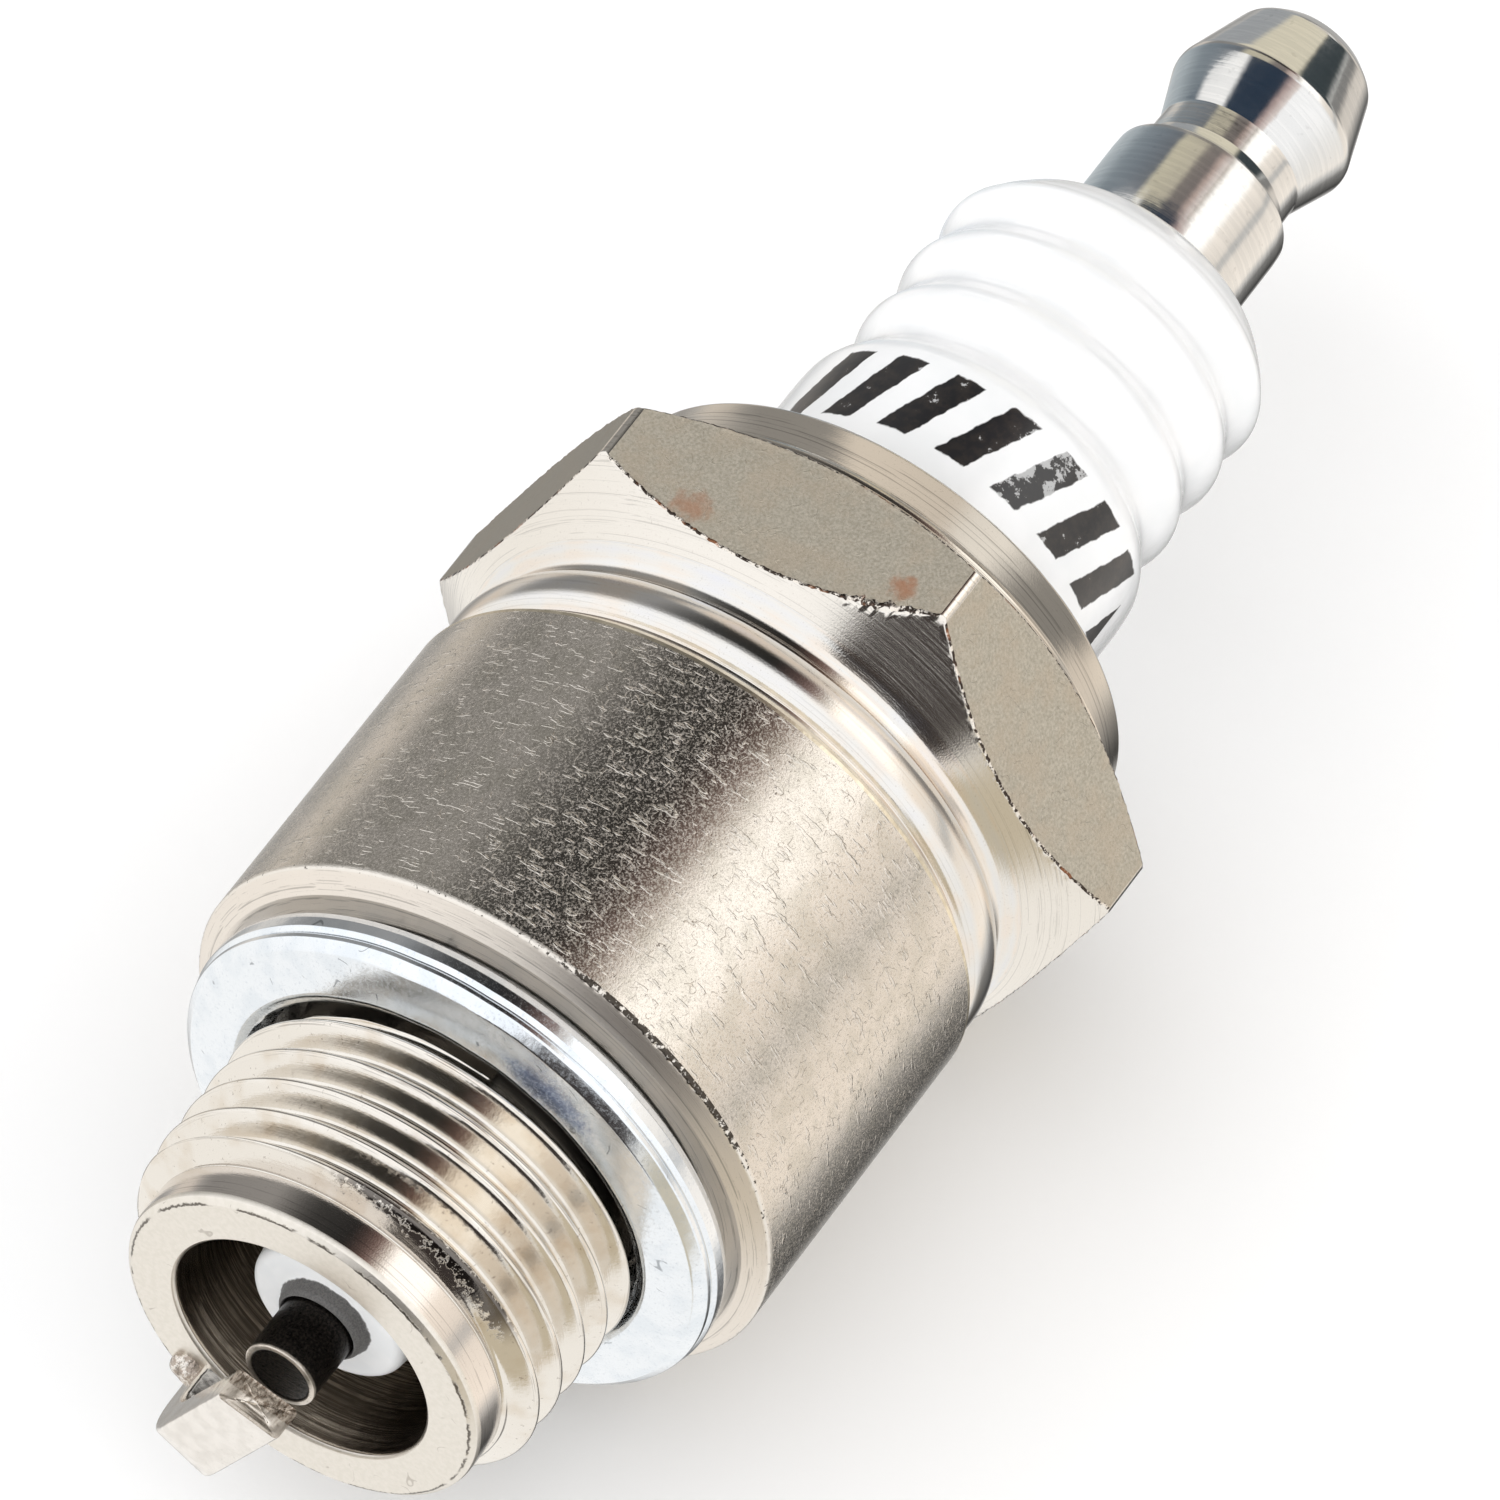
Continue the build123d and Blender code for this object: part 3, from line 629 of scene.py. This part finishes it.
def make_shell(materials):
    zone = {name: i for i, name in enumerate(materials)}
    degrees = np.arange(COLUMNS) * 360 / COLUMNS
    angle = np.radians(degrees)
    xs, rs, zones = [], [], []

    def add(x, r, name):
        x = np.asarray(x, float)
        r = np.asarray(r, float)
        rows = max(len(x), len(r))
        xs.append(np.broadcast_to(x if x.ndim == 2 else x[:, None], (rows, COLUMNS)))
        rs.append(np.broadcast_to(r if r.ndim == 2 else r[:, None], (rows, COLUMNS)))
        zones.append(np.full((rows, COLUMNS), zone[name]))

    def add_profile(points, name, steps=5):
        made = rounded(points, steps)
        add(made[:, 0], made[:, 1], name)

    # End face, pilot, thread and relief
    add_profile([(-9.50, 4.376, 0), (-9.6, 4.48, 0.05), (-9.6, 5.2, 0)], "end")
    add_profile([(-9.6, 5.25, 0), (-9.6, 5.86, 0.07), (-9.44, 6.06, 0.07), (-9.3, 6.1, 0)], "end", 6)
    add_profile([(-9.27, 6.1, 0), (-9.23, 6.1, 0), (-8.25, 6.1, 0), (-8.2, 6.1, 0)], "pilot")
    thread_x = np.arange(-8.14, -1.93, 0.03)
    thread_r = thread_radius(thread_x[:, None], angle[None, :])
    add(thread_x, thread_r, "thread")
    add_profile([(-1.9, 6.0, 0), (0.0, 6.0, 0.15), (0.0, 7.5, 0)], "relief")
    add_profile([(0.0, 7.6, 0), (0.0, 9.22, 0), (0.0, 9.27, 0.02), (0.02, 9.305, 0), (0.34, 9.865, 0),
                 (0.36, 9.90, 0)], "seat")

    # Barrel, with a nicked edge at the shoulder
    nicked = 0.012 + 0.030 * np.exp(-((degrees - 128) / 20) ** 2)
    nicks = nicked * ring_noise(COLUMNS, range(50, 350, 3), 1.0, 15)
    add(np.stack([0.385 + nicks * 0.5, 0.42 + nicks, 0.455 + nicks]),
        np.stack([9.945 - np.abs(nicks) * 0.6, 9.98 - np.abs(nicks) * 0.5, 10.0 + 0 * nicks]), "nick")
    barrel_x = np.linspace(0.58, 11.5, 60)
    add(barrel_x, np.full(60, 10.0), "barrel")
    add_profile([(11.60, 10.0, 0), (11.70, 10.0, 0), (11.72, 10.0, 0.01), (11.74, 9.98, 0), (11.96, 9.76, 0),
                 (11.98, 9.74, 0)], "bevel", 3)
    add_profile([(12.0, 9.71, 0), (12.14, 9.50, 0.06), (12.28, 9.46, 0.05), (12.33, 9.51, 0)], "groove", 4)
    bead_angle = np.linspace(math.pi * 0.92, math.pi * 0.12, 16)
    bead_x = 13.14 + 0.82 * np.cos(bead_angle)
    bead_r = 9.42 + 0.41 * np.sin(bead_angle)
    add(bead_x, bead_r, "groove")
    add_profile([(13.97, 9.46, 0), (14.12, 9.27, 0.25), (14.56, 9.27, 0.45), (14.95, 9.742, 0)], "groove", 6)

    # Hexagon: every column has its own cone ends
    delta = np.radians(np.mod(degrees, 60) - 30)
    hexagon = np.minimum(APOTHEM / np.cos(delta), HEX_CORNER_R)
    low_x, low_r, rise = LOW_CONE
    high_x, high_r, fall = HIGH_CONE
    start = low_x + (hexagon - low_r) / rise
    end = high_x - (hexagon - high_r) / fall
    battered = np.exp(-((degrees - 112) / 5.5) ** 4)
    start = start + ring_noise(COLUMNS, range(60, 330, 7), 1.0, 11) * (0.022 + 0.08 * battered)
    end = end + ring_noise(COLUMNS, range(60, 330, 7), 0.014, 12)
    edge = 0.07
    low_edge = edge + 0.10 * battered

    def cone_rows(shares, x0, x1):
        return x0 + shares[:, None] * (x1 - x0)

    shares = np.linspace(0, 1, 12)
    cone_x = cone_rows(shares, 15.0 + 0 * start, start - low_edge)
    add(cone_x, low_r + rise * (cone_x - low_x), "cone")
    burr = np.clip(ring_noise(COLUMNS, range(40, 340, 5), 1.0, 13) * (0.020 + 0.06 * battered), -0.09, 0.07)
    turned_corner = np.abs(np.degrees(delta)) >= CORNER_ANGLE - 0.01
    burr = np.where(turned_corner, 0.0, burr)
    add(np.stack([start - low_edge * 0.4, start, start + low_edge * 0.5]),
        np.stack([hexagon - low_edge * 0.45, hexagon - 0.012 + burr, hexagon - 0.002 + burr * 0.6]), "edge")
    flat_shares = np.linspace(0, 1, 26)
    flat_x = cone_rows(flat_shares, start + low_edge, end - edge)
    wave = 0.006 * np.sin(flat_x * 1.9 + 3 * np.sin(2 * angle)[None, :]) * np.cos(7 * angle)[None, :]
    add(flat_x, hexagon[None, :] + np.where(turned_corner, 0.0, wave - 0.006), "flat")
    burr = np.clip(ring_noise(COLUMNS, range(40, 340, 5), 0.022, 14), -0.015, 0.05)
    burr = np.where(turned_corner, 0.0, burr)
    add(np.stack([end - edge * 0.5, end, end + edge * 0.4]),
        np.stack([hexagon + burr * 0.6, hexagon - 0.012 + burr, hexagon - edge * 0.55]), "edge")
    cone_x = cone_rows(shares, end + edge, high_x - 0.06 + 0 * end)
    add(cone_x, high_r - fall * (cone_x - high_x), "cone")

    # Collar and crimp
    add_profile([(19.86, 10.01, 0), (19.9, 9.965, 0.03), (20.05, 9.965, 0.03), (20.12, 9.78, 0.04),
                 (20.55, 9.30, 0.3), (21.4, 9.06, 0)], "crimp", 4)
    add_profile([(21.5, 9.03, 0), (22.18, 8.90, 0.25), (22.6, 8.10, 0.35), (22.6, 6.8, 0.12),
                 (22.35, 6.5, 0.1), (22.0, 6.5, 0)], "crimp", 6)

    # Inside
    add_profile([(21.6, 6.5, 0), (21.6, 6.9, 0.1), (21.5, 7.3, 0.1), (21.0, 7.5, 0.1), (9.2, 7.5, 0.1),
                 (7.0, 4.9, 0.1), (-0.6, 4.9, 0.1), (-1.5, 3.95, 0.05), (-2.6, 3.95, 0.05),
                 (-2.95, 4.376, 0.05), (-3.2, 4.376, 0)], "bore", 3)
    add(np.linspace(-3.5, -9.3, 20), np.full(20, 4.376), "bore")

    x, r, z = np.vstack(xs), np.vstack(rs), np.vstack(zones)
    corner = np.broadcast_to(turned_corner, z.shape)
    z = np.where(corner & ((z == zone["flat"]) | (z == zone["edge"])), zone["cone"], z)
    return lathe("shell_body", x, r, list(materials.values()), z, closed=True)


# ---------------------------------------------------------------- other turned pieces

def make_gasket(material):
    columns = 360
    profile = rounded([
        (-0.02, 7.3, 0), (-0.02, 8.35, 0.15), (-0.52, 8.95, 0.10), (-0.60, 9.13, 0.08), (-0.85, 9.2, 0.2),
        (-1.22, 9.2, 0.12), (-1.37, 9.11, 0.03), (-1.41, 9.02, 0.02), (-1.45, 9.11, 0.03),
        (-1.62, 9.10, 0.12), (-1.90, 8.78, 0.2), (-2.24, 7.28, 0.40),
        (-2.06, 6.91, 0.25), (-1.78, 6.72, 0.3), (-1.40, 6.60, 0.2),
        (-0.76, 6.60, 0.05), (-0.70, 7.06, 0.05), (-0.02, 7.06, 0.1),
        (-0.02, 7.2, 0),
    ], 6)
    x, r = spread(profile[::-1], columns)
    dents = ring_noise(columns, range(2, 15), 0.012, 21)
    under = (x < -1.0)
    x = x + np.where(under, np.abs(dents)[None, :], 0.0)
    lip = (r < 6.9)
    r = r + np.where(lip, ring_noise(columns, range(3, 40), 0.02, 22)[None, :], 0.0)
    obj = lathe("gasket_ring", x, r, [material], closed=True)
    obj.data.flip_normals()
    return obj


def make_insulator(glaze, bisque):
    columns = 256
    nose = rounded([
        (-8.60, 1.24, 0), (-8.68, 1.30, 0.05), (-8.50, 1.42, 0.10), (-8.17, 1.52, 0.06), (-8.15, 1.66, 0.03),
        (-8.15, 2.60, 0.34), (-1.35, 3.52, 0.3),
        (-0.42, 4.75, 0.2), (7.2, 4.75, 0.2), (9.5, 7.3, 0.3), (16.4, 7.3, 0.3), (17.6, 6.25, 0.3),
        (20.0, 6.22, 0),
    ], 6)
    body = spline([(20.5, 6.22), (22.6, 6.2), (25.5, 6.17), (27.5, 6.15), (28.3, 5.98), (29.4, 5.36),
                   (30.85, 5.75), (32.05, 5.35), (33.4, 5.76), (34.5, 5.36), (35.65, 5.72), (36.2, 5.50),
                   (36.65, 5.18), (37.05, 4.84), (37.32, 4.45), (37.42, 4.0)], 10)
    top = rounded([(37.42, 3.9, 0), (37.42, 2.1, 0.1), (37.2, 2.1, 0)], 4)
    bore = rounded([(36.0, 2.1, 0), (3.82, 2.1, 0.05), (3.0, 1.24, 0.05), (-8.5, 1.24, 0)], 3)
    profile = np.vstack([nose, body, top, bore])
    x, r = spread(profile, columns)
    zones = np.where(x[:, 0] < 15, 1, 0)
    zones[-len(bore):] = 1
    return lathe("insulator_body", x, r, [glaze, bisque], zones, closed=True)


def make_centre_electrode(material):
    profile = rounded([
        (-10.62, 0.25, 0), (-10.63, 0.98, 0.05), (-10.67, 1.05, 0.02), (-10.67, 1.2, 0.04), (-10.4, 1.2, 0),
        (2.96, 1.2, 0.02), (3.6, 1.88, 0.05), (4.8, 1.88, 0.08), (4.8, 0.3, 0),
    ], 5)
    x, r = spread(profile, 128)
    tilt = 0.03
    angle = np.arange(128) / 128 * 2 * np.pi
    end = (x < -10.5)
    x = x + np.where(end, tilt * r / 1.2 * np.cos(angle - 1.0), 0.0)
    return lathe("centre_electrode_pin", x, r, [material])


def make_terminal(material):
    head = np.vstack([
        rounded([(15.6, 0.3, 0), (15.6, 1.6, 0.1), (16.0, 1.85, 0.05), (16.4, 1.6, 0.05), (16.8, 1.85, 0.05),
                 (17.2, 1.6, 0.05), (17.6, 1.85, 0.05), (18.0, 1.6, 0.05), (18.4, 1.85, 0.05),
                 (19.6, 1.6, 0.05), (19.6, 1.95, 0.05), (37.44, 1.95, 0.02),
                 (37.44, 2.95, 0.04), (37.6, 3.08, 0.06),
                 (41.2, 3.08, 0)], 4),
        rounded([(41.3, 3.08, 0), (41.72, 3.06, 0.10), (42.0, 2.62, 0.12), (42.4, 2.52, 0.2),
                 (43.45, 2.50, 0.25), (45.42, 3.19, 0.65), (47.95, 2.42, 0.6), (48.46, 1.9, 0.35),
                 (48.5, 1.0, 0.1), (48.5, 0.3, 0)], 6),
    ])
    x, r = spread(head, 224)
    return lathe("terminal_stud_body", x, r, [material])


# ---------------------------------------------------------------- ground electrode

def strap_frame():
    a = math.radians(STRAP_ANGLE)
    outward = np.array([0.0, math.cos(a), math.sin(a)])
    side = np.cross([1.0, 0.0, 0.0], outward)
    return outward, side


def rounded_box_ring(half_u, half_v, radius, steps=4):
    """Points around a rounded rectangle, counter-clockwise."""
    points = []
    for corner, (su, sv) in enumerate([(1, 1), (-1, 1), (-1, -1), (1, -1)]):
        for k in range(steps + 1):
            a = (corner + k / steps) * math.pi / 2
            points.append((su * (half_u - radius) + radius * math.cos(a),
                           sv * (half_v - radius) + radius * math.sin(a)))
    return np.array(points)


def make_strap(bright, sheared, weld):
    outward, side = strap_frame()
    thick, width = 1.2, 2.1
    mid_r, low_x, bend = 5.08, -11.91, 1.32
    path = [(-9.35, mid_r), (-9.6, mid_r), (-10.1, mid_r)]
    for k in range(13):
        a = k / 12 * math.pi / 2
        path.append((low_x + bend * (1 - math.sin(a)), mid_r - bend * (1 - math.cos(a))))
    straight = np.linspace(mid_r - bend - 0.3, -0.1, 16)
    path += [(low_x, r) for r in straight]
    path = np.array(path)
    along = np.gradient(path, axis=0)
    along /= np.linalg.norm(along, axis=1)[:, None]
    ring = rounded_box_ring(thick / 2, width / 2, 0.16, 5)
    # in the section, u runs away from the inside of the bend and v runs along side
    points = []
    stations = len(path)
    sheared_from = stations - 10        # the stations that lean into the skewed end
    for i, ((x, r), (dx, dr)) in enumerate(zip(path, along)):
        for u, v in ring:
            skew = 0.0
            if i > sheared_from:
                skew = (i - sheared_from) / 9 * (v * 0.25)
            px = x + u * dr
            pr = r - u * dx + skew
            points.append(np.array([px, 0, 0]) + outward * pr + side * v)
    points = np.array(points)
    n = len(ring)
    number = np.arange(stations * n).reshape(stations, n)
    after = np.roll(number, -1, axis=1)
    quads = np.stack([number[:-1], number[1:], after[1:], after[:-1]], axis=-1).reshape(-1, 4)
    zones = [0] * len(quads)
    # the sheared end: concentric rings with torn relief
    local = np.random.default_rng(31)
    end_ring = points[number[-1]]
    centre = end_ring.mean(axis=0)
    faces = [quads]
    last = number[-1]
    extra = []
    levels, torn = 9, 0.018     # rings over the sheared end and the height of its relief
    for level in range(1, levels):
        share = 1 - level / levels
        for k in range(n):
            base = centre + (end_ring[k] - centre) * share
            extra.append(base + outward * local.normal() * torn)
        now = len(points) + (level - 1) * n + np.arange(n)
        faces.append(np.stack([last, now, np.roll(now, -1), np.roll(last, -1)], axis=-1))
        zones += [1] * n
        last = now
    hub = len(points) + (levels - 1) * n
    faces.append(np.stack([last, np.full(n, hub), np.roll(last, -1)], axis=-1))
    zones += [1] * n
    start = number[0]
    start_hub = hub + 1
    faces.append(np.stack([np.roll(start, -1), np.full(n, start_hub), start], axis=-1))
    zones += [2] * n
    points = np.vstack([points, extra, [centre], [points[start].mean(axis=0)]])
    return make_object("ground_electrode_strap", points, faces, [bright, sheared, weld], zones, sharp=50)


def blob(name, centre, radii, axes, seed, material):
    """A lumpy bead of weld metal."""
    rough, rings, segments = 0.12, 20, 28
    local = np.random.default_rng(seed)
    waves = [(local.integers(1, 5), local.integers(1, 5), local.uniform(0, 6.28), local.normal())
             for _ in range(8)]
    points = []
    for i in range(1, rings):
        polar = math.pi * i / rings
        for j in range(segments):
            azimuth = 2 * math.pi * j / segments
            lump = 1 + rough * sum(h * math.sin(a * azimuth + p) * math.sin(b * polar)
                                   for a, b, p, h in waves) / 3
            direction = (math.sin(polar) * math.cos(azimuth), math.sin(polar) * math.sin(azimuth),
                         math.cos(polar))
            points.append(centre + sum(d * s * lump * axis for d, s, axis in zip(direction, radii, axes)))
    count = len(points)
    points.append(centre + axes[2] * radii[2])
    points.append(centre - axes[2] * radii[2])
    number = np.arange(count).reshape(rings - 1, segments)
    after = np.roll(number, -1, axis=1)
    quads = np.stack([number[:-1], number[1:], after[1:], after[:-1]], axis=-1).reshape(-1, 4)
    top = np.stack([np.full(segments, count), number[0], after[0]], axis=-1)
    bottom = np.stack([number[-1], np.full(segments, count + 1), after[-1]], axis=-1)
    return make_object(name, np.array(points), [quads, top, bottom], [material])


def join(objects, name):
    for o in bpy.context.view_layer.objects:
        o.select_set(False)
    for o in objects:
        o.select_set(True)
    bpy.context.view_layer.objects.active = objects[0]
    bpy.ops.object.join()
    objects[0].name = name
    return objects[0]


# ---------------------------------------------------------------- make everything

shell_materials = {
    "end": end_nickel(),
    "pilot": turned_nickel("pilot_nickel", (0.74, 0.69, 0.64), 0.12, 8.0, 0.0012, lines=0.5),
    "thread": thread_nickel(),
    "relief": turned_nickel("relief_nickel", (0.52, 0.48, 0.43), 0.25, 8.0, 0.008),
    "seat": turned_nickel("shoulder_nickel", (0.78, 0.72, 0.65), 0.35, 10.0, 0.006, lines=0.7),
    "nick": nicked_nickel(),
    "barrel": barrel_nickel(),
    "bevel": bevel_nickel(),
    "groove": turned_nickel("groove_nickel", (0.74, 0.71, 0.67), 0.12, 7.0, 0.0022, tint=0.45),
    "cone": turned_nickel("cone_nickel", (0.76, 0.72, 0.66), 0.16, 9.0, 0.0032, lines=0.4),
    "edge": edge_nickel(),
    "flat": flat_nickel(),
    "crimp": turned_nickel("crimp_nickel", (0.73, 0.675, 0.595), 0.12, 6.0, 0.0024, lines=0.7),
    "bore": bore_nickel(),
}

shell = make_shell(shell_materials)
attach(shell, "plug")
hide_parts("shell")

gasket = make_gasket(zinc_plate())
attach(gasket, "gasket")
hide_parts("gasket")

insulator = make_insulator(glazed_ceramic(), bisque_ceramic())
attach(insulator, "plug")
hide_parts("insulator")

pin = make_centre_electrode(electrode_black())
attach(pin, "plug")
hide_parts("centre_electrode")

terminal = make_terminal(terminal_chrome())
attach(terminal, "plug")
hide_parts("terminal_stud")

outward, side = strap_frame()
axis = np.array([1.0, 0.0, 0.0])
weld = weld_nickel()
strap = make_strap(strap_nickel(), sheared_nickel(), weld)
# place along outward, side and axis, radii along the same, and seed
bead_table = [
    ((5.35, 1.25, -9.62), (0.55, 0.62, 0.42), 5),
    ((5.55, 0.75, -9.66), (0.35, 0.45, 0.34), 6),
    ((5.3, -1.25, -9.52), (0.62, 0.30, 0.22), 8),
    ((5.85, -0.1, -9.50), (0.20, 1.15, 0.20), 9),
    ((4.62, 0.0, -9.50), (0.18, 1.15, 0.16), 10),
]
beads = [blob("bead", outward * a + side * b + axis * c, radii, (outward, side, axis), seed, weld)
         for (a, b, c), radii, seed in bead_table]
strap = join([strap, *beads], "ground_electrode_strap")
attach(strap, "plug")
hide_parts("ground_electrode")

inner_materials = {
    "internal_seat_washer": plain_metal("soft_steel_washer", *STEEL, 0.4),
    "lower_packing_ring": plain_metal("soft_steel_wire", *STEEL, 0.35),
    "upper_packing_ring": plain_metal("soft_steel_wire_2", *STEEL, 0.35),
    "talc_packing": plain_solid("talc_powder", (0.80, 0.79, 0.76), (0.68, 0.67, 0.63), 0.9),
    "centre_electrode_core": plain_metal("copper_core", (0.72, 0.36, 0.22), (0.48, 0.20, 0.12), 0.35),
    "lower_glass_seal": plain_solid("glass_seal", *GLASS, 0.3),
    "upper_glass_seal": plain_solid("glass_seal_2", *GLASS, 0.3),
    "resistor_element": plain_solid("resistor_mix", (0.07, 0.065, 0.06), (0.02, 0.02, 0.02), 0.6),
}
for node_name, material in inner_materials.items():
    node = frame["nodes"][node_name]
    node.data.materials.clear()
    node.data.materials.append(material)


# ---------------------------------------------------------------- floor, light and camera

def floor_material():
    g = Graph("studio_paper")
    tone = g.mix(g.mask(g.noise(0.02, 2.0), 0.3, 0.7), (0.97, 0.97, 0.97), (0.95, 0.95, 0.948))
    return g.finish(tone, 0.7, 0.0, g.bump(g.noise(2.0, 3.0), 0.01))


def make_floor():
    half = 900.0
    steps = 25
    line = np.linspace(-half, half, steps)
    gx, gy = np.meshgrid(line, line, indexing="ij")
    points = np.stack([gx, gy, np.full_like(gx, FLOOR_Z)], axis=-1).reshape(-1, 3)
    made = make_object("studio_floor", points, [sheet_faces(steps, steps)], [floor_material()])
    made.visible_glossy = False
    return made


def studio_world():
    """Soft studio light: bands around the plug's axis for its sides, and an even fill elsewhere."""
    world = bpy.data.worlds.new("studio")
    bpy.context.scene.world = world
    world.use_nodes = True
    tree = world.node_tree
    tree.nodes.clear()
    g = Graph.__new__(Graph)
    g.tree = tree
    direction = g.node("TexCoord").outputs["Generated"]
    x, y, z = g.node("SeparateXYZ", {0: direction}).outputs
    turn = g.calc("DIVIDE", g.calc("ARCTAN2", z, y), 2 * math.pi)
    turn = g.calc("FRACT", g.calc("ADD", turn, 1.0))
    grey, cream, pink = (1.0, 0.985, 0.96), (1.0, 0.93, 0.85), (1.0, 0.66, 0.59)
    # what the sides reflect: angle around the axis from +Y towards +Z, brightness and colour
    sides = [
        (0, 0.30, grey), (46, 0.34, grey), (54, 0.22, grey), (64, 0.10, grey), (72, 0.05, grey),
        (96, 0.02, grey), (105, 0.10, pink), (112, 0.26, pink),
        (118, 0.85, cream), (123, 1.60, grey), (147, 1.60, grey),
        (155, 1.18, cream), (174, 1.02, cream), (179, 0.68, grey), (184, 0.70, grey), (189, 1.08, cream),
        (224, 1.22, cream), (233, 0.70, grey), (242, 0.26, grey), (268, 0.05, grey), (277, 0.36, grey),
        (290, 0.72, grey), (304, 0.62, grey), (316, 0.34, grey), (327, 0.52, grey), (334, 0.78, cream),
        (346, 0.76, cream), (352, 0.42, grey), (360, 0.30, grey),
    ]
    # what the slopes towards the terminal reflect
    beyond = [
        (0, 0.32, grey), (38, 0.34, grey), (50, 0.88, cream), (110, 0.78, cream), (122, 0.95, grey),
        (144, 1.05, grey), (160, 0.55, grey), (168, 0.32, grey), (202, 0.28, grey), (214, 0.84, cream),
        (236, 0.85, cream), (262, 0.45, grey), (330, 0.55, grey), (360, 0.32, grey),
    ]
    around, ahead = (
        g.ramp(turn, [(degrees / 360, tuple(level * c for c in tint)) for degrees, level, tint in stops])
        for stops in (sides, beyond))
    # behind the camera everything is bright, but for a dark card in front of the firing end
    fill = g.mix(g.mask(z, -0.4, 0.5), (1.12, 1.11, 1.09), (1.26, 1.27, 1.29))
    across = g.scaled(y, 0.79, g.times(z, 0.61))
    along = g.scaled(y, -0.61, g.times(z, 0.79))
    card = g.times(g.mask(across, -0.50, -0.42), g.mask(across, 0.17, 0.11))
    card = g.times(card, g.times(g.mask(along, -0.40, -0.28), g.mask(along, 0.52, 0.42)))
    front = g.mask(x, -0.50, -0.62)
    beige = g.times(g.mask(across, -0.46, -0.58), front)
    fill = g.mix(beige, fill, (0.68, 0.61, 0.48))
    fill = g.mix(g.times(card, front), fill, (0.05, 0.042, 0.040))
    light = g.mix(g.mask(x, 0.62, 0.80), around, ahead)
    light = g.mix(g.mask(x, 0.34, 0.06), light, fill)
    background = g.node("Background", {"Color": light, "Strength": 1.0})
    output = g.node("OutputWorld")
    tree.links.new(background.outputs[0], output.inputs[0])


def make_soft_light():
    """A wide soft light from above that reflections do not see; it lights the floor and the ceramic."""
    data = bpy.data.lights.new("overhead", "SUN")
    data.energy = 0.85
    data.angle = math.radians(100)
    light = bpy.data.objects.new("overhead", data)
    bpy.context.scene.collection.objects.link(light)
    light.rotation_euler = (math.radians(-20), math.radians(-25), 0)
    light.visible_glossy = False


def make_card(name, x0, x1, first, last, stops):
    """A curved studio card around the terminal, seen only in reflections, from x0 to x1 millimetres and
    from first to last degrees. stops holds (degrees, colour)."""
    turns = np.radians(np.linspace(first, last, CARD_COLUMNS))
    along = np.array([x0, x1])
    ring = np.stack([0 * turns, CARD_R * np.cos(turns), CARD_R * np.sin(turns)], axis=-1)
    points = (ring[None, :, :] + np.array([1.0, 0.0, 0.0]) * along[:, None, None]).reshape(-1, 3)
    g = Graph(name)
    turn = g.calc("DIVIDE", g.minus(g.angle, math.radians(first)), math.radians(last - first))
    glow = g.ramp(turn, [((at - first) / (last - first), colour) for at, colour in stops])
    material = g.finish((0.0, 0.0, 0.0), 1.0, 0.0, None, **{"Emission Color": glow, "Emission Strength": 1.0,
                                                            "Specular IOR Level": 0.0})
    made = make_object(name, points, [sheet_faces(2, CARD_COLUMNS)], [material])
    made.visible_camera = False
    made.visible_diffuse = False
    made.visible_shadow = False
    made.visible_transmission = False
    return made


def make_camera():
    data = bpy.data.cameras.new("camera")
    data.sensor_width = 36.0
    data.lens = 401.66
    data.clip_start = 0.01
    data.clip_end = 10.0
    camera = bpy.data.objects.new("camera", data)
    bpy.context.scene.collection.objects.link(camera)
    camera.location = (-0.24437, -0.16109, 0.39916)
    camera.rotation_mode = "QUATERNION"
    camera.rotation_quaternion = Vector((0.51768, 0.32098, -0.79309)).to_track_quat("-Z", "Y")
    bpy.context.scene.camera = camera


floor = make_floor()
cone_card = make_card("card_for_cone", 41.2, 46.2, -60, 123, [
    (-60, (0.62, 0.66, 0.70)), (-12, (0.50, 0.55, 0.60)), (4, (0.17, 0.21, 0.25)), (24, (0.20, 0.24, 0.28)),
    (31, (1.15, 1.15, 1.15)), (63, (1.20, 1.20, 1.20)), (69, (0.030, 0.050, 0.085)),
    (107, (0.022, 0.042, 0.075)), (113, (0.55, 0.42, 0.40)), (123, (1.0, 0.90, 0.86))])
collar_card = make_card("card_for_collar", 46.2, 53.0, -80, 115, [
    (-80, (0.66, 0.70, 0.72)), (-31, (0.56, 0.61, 0.64)), (-10, (0.48, 0.54, 0.58)), (11, (0.29, 0.34, 0.38)),
    (32, (0.23, 0.27, 0.31)), (54, (0.18, 0.20, 0.23)), (60, (0.70, 0.65, 0.50)), (83, (0.64, 0.59, 0.47)),
    (89, (0.28, 0.25, 0.23)), (101, (0.24, 0.21, 0.20)), (106, (0.60, 0.47, 0.42)),
    (115, (0.95, 0.87, 0.83))])
tip_card = make_card("card_for_tip", 58.0, 90.0, -20, 178, [
    (-20, (0.42, 0.44, 0.46)), (30, (0.44, 0.46, 0.48)), (38, (0.86, 0.80, 0.64)), (112, (0.88, 0.82, 0.66)),
    (119, (0.055, 0.072, 0.082)), (166, (0.05, 0.065, 0.072)), (178, (0.70, 0.70, 0.68))])
studio_world()
make_soft_light()
make_camera()
bpy.context.scene.view_settings.view_transform = "Standard"
bpy.context.scene.view_settings.look = "None"
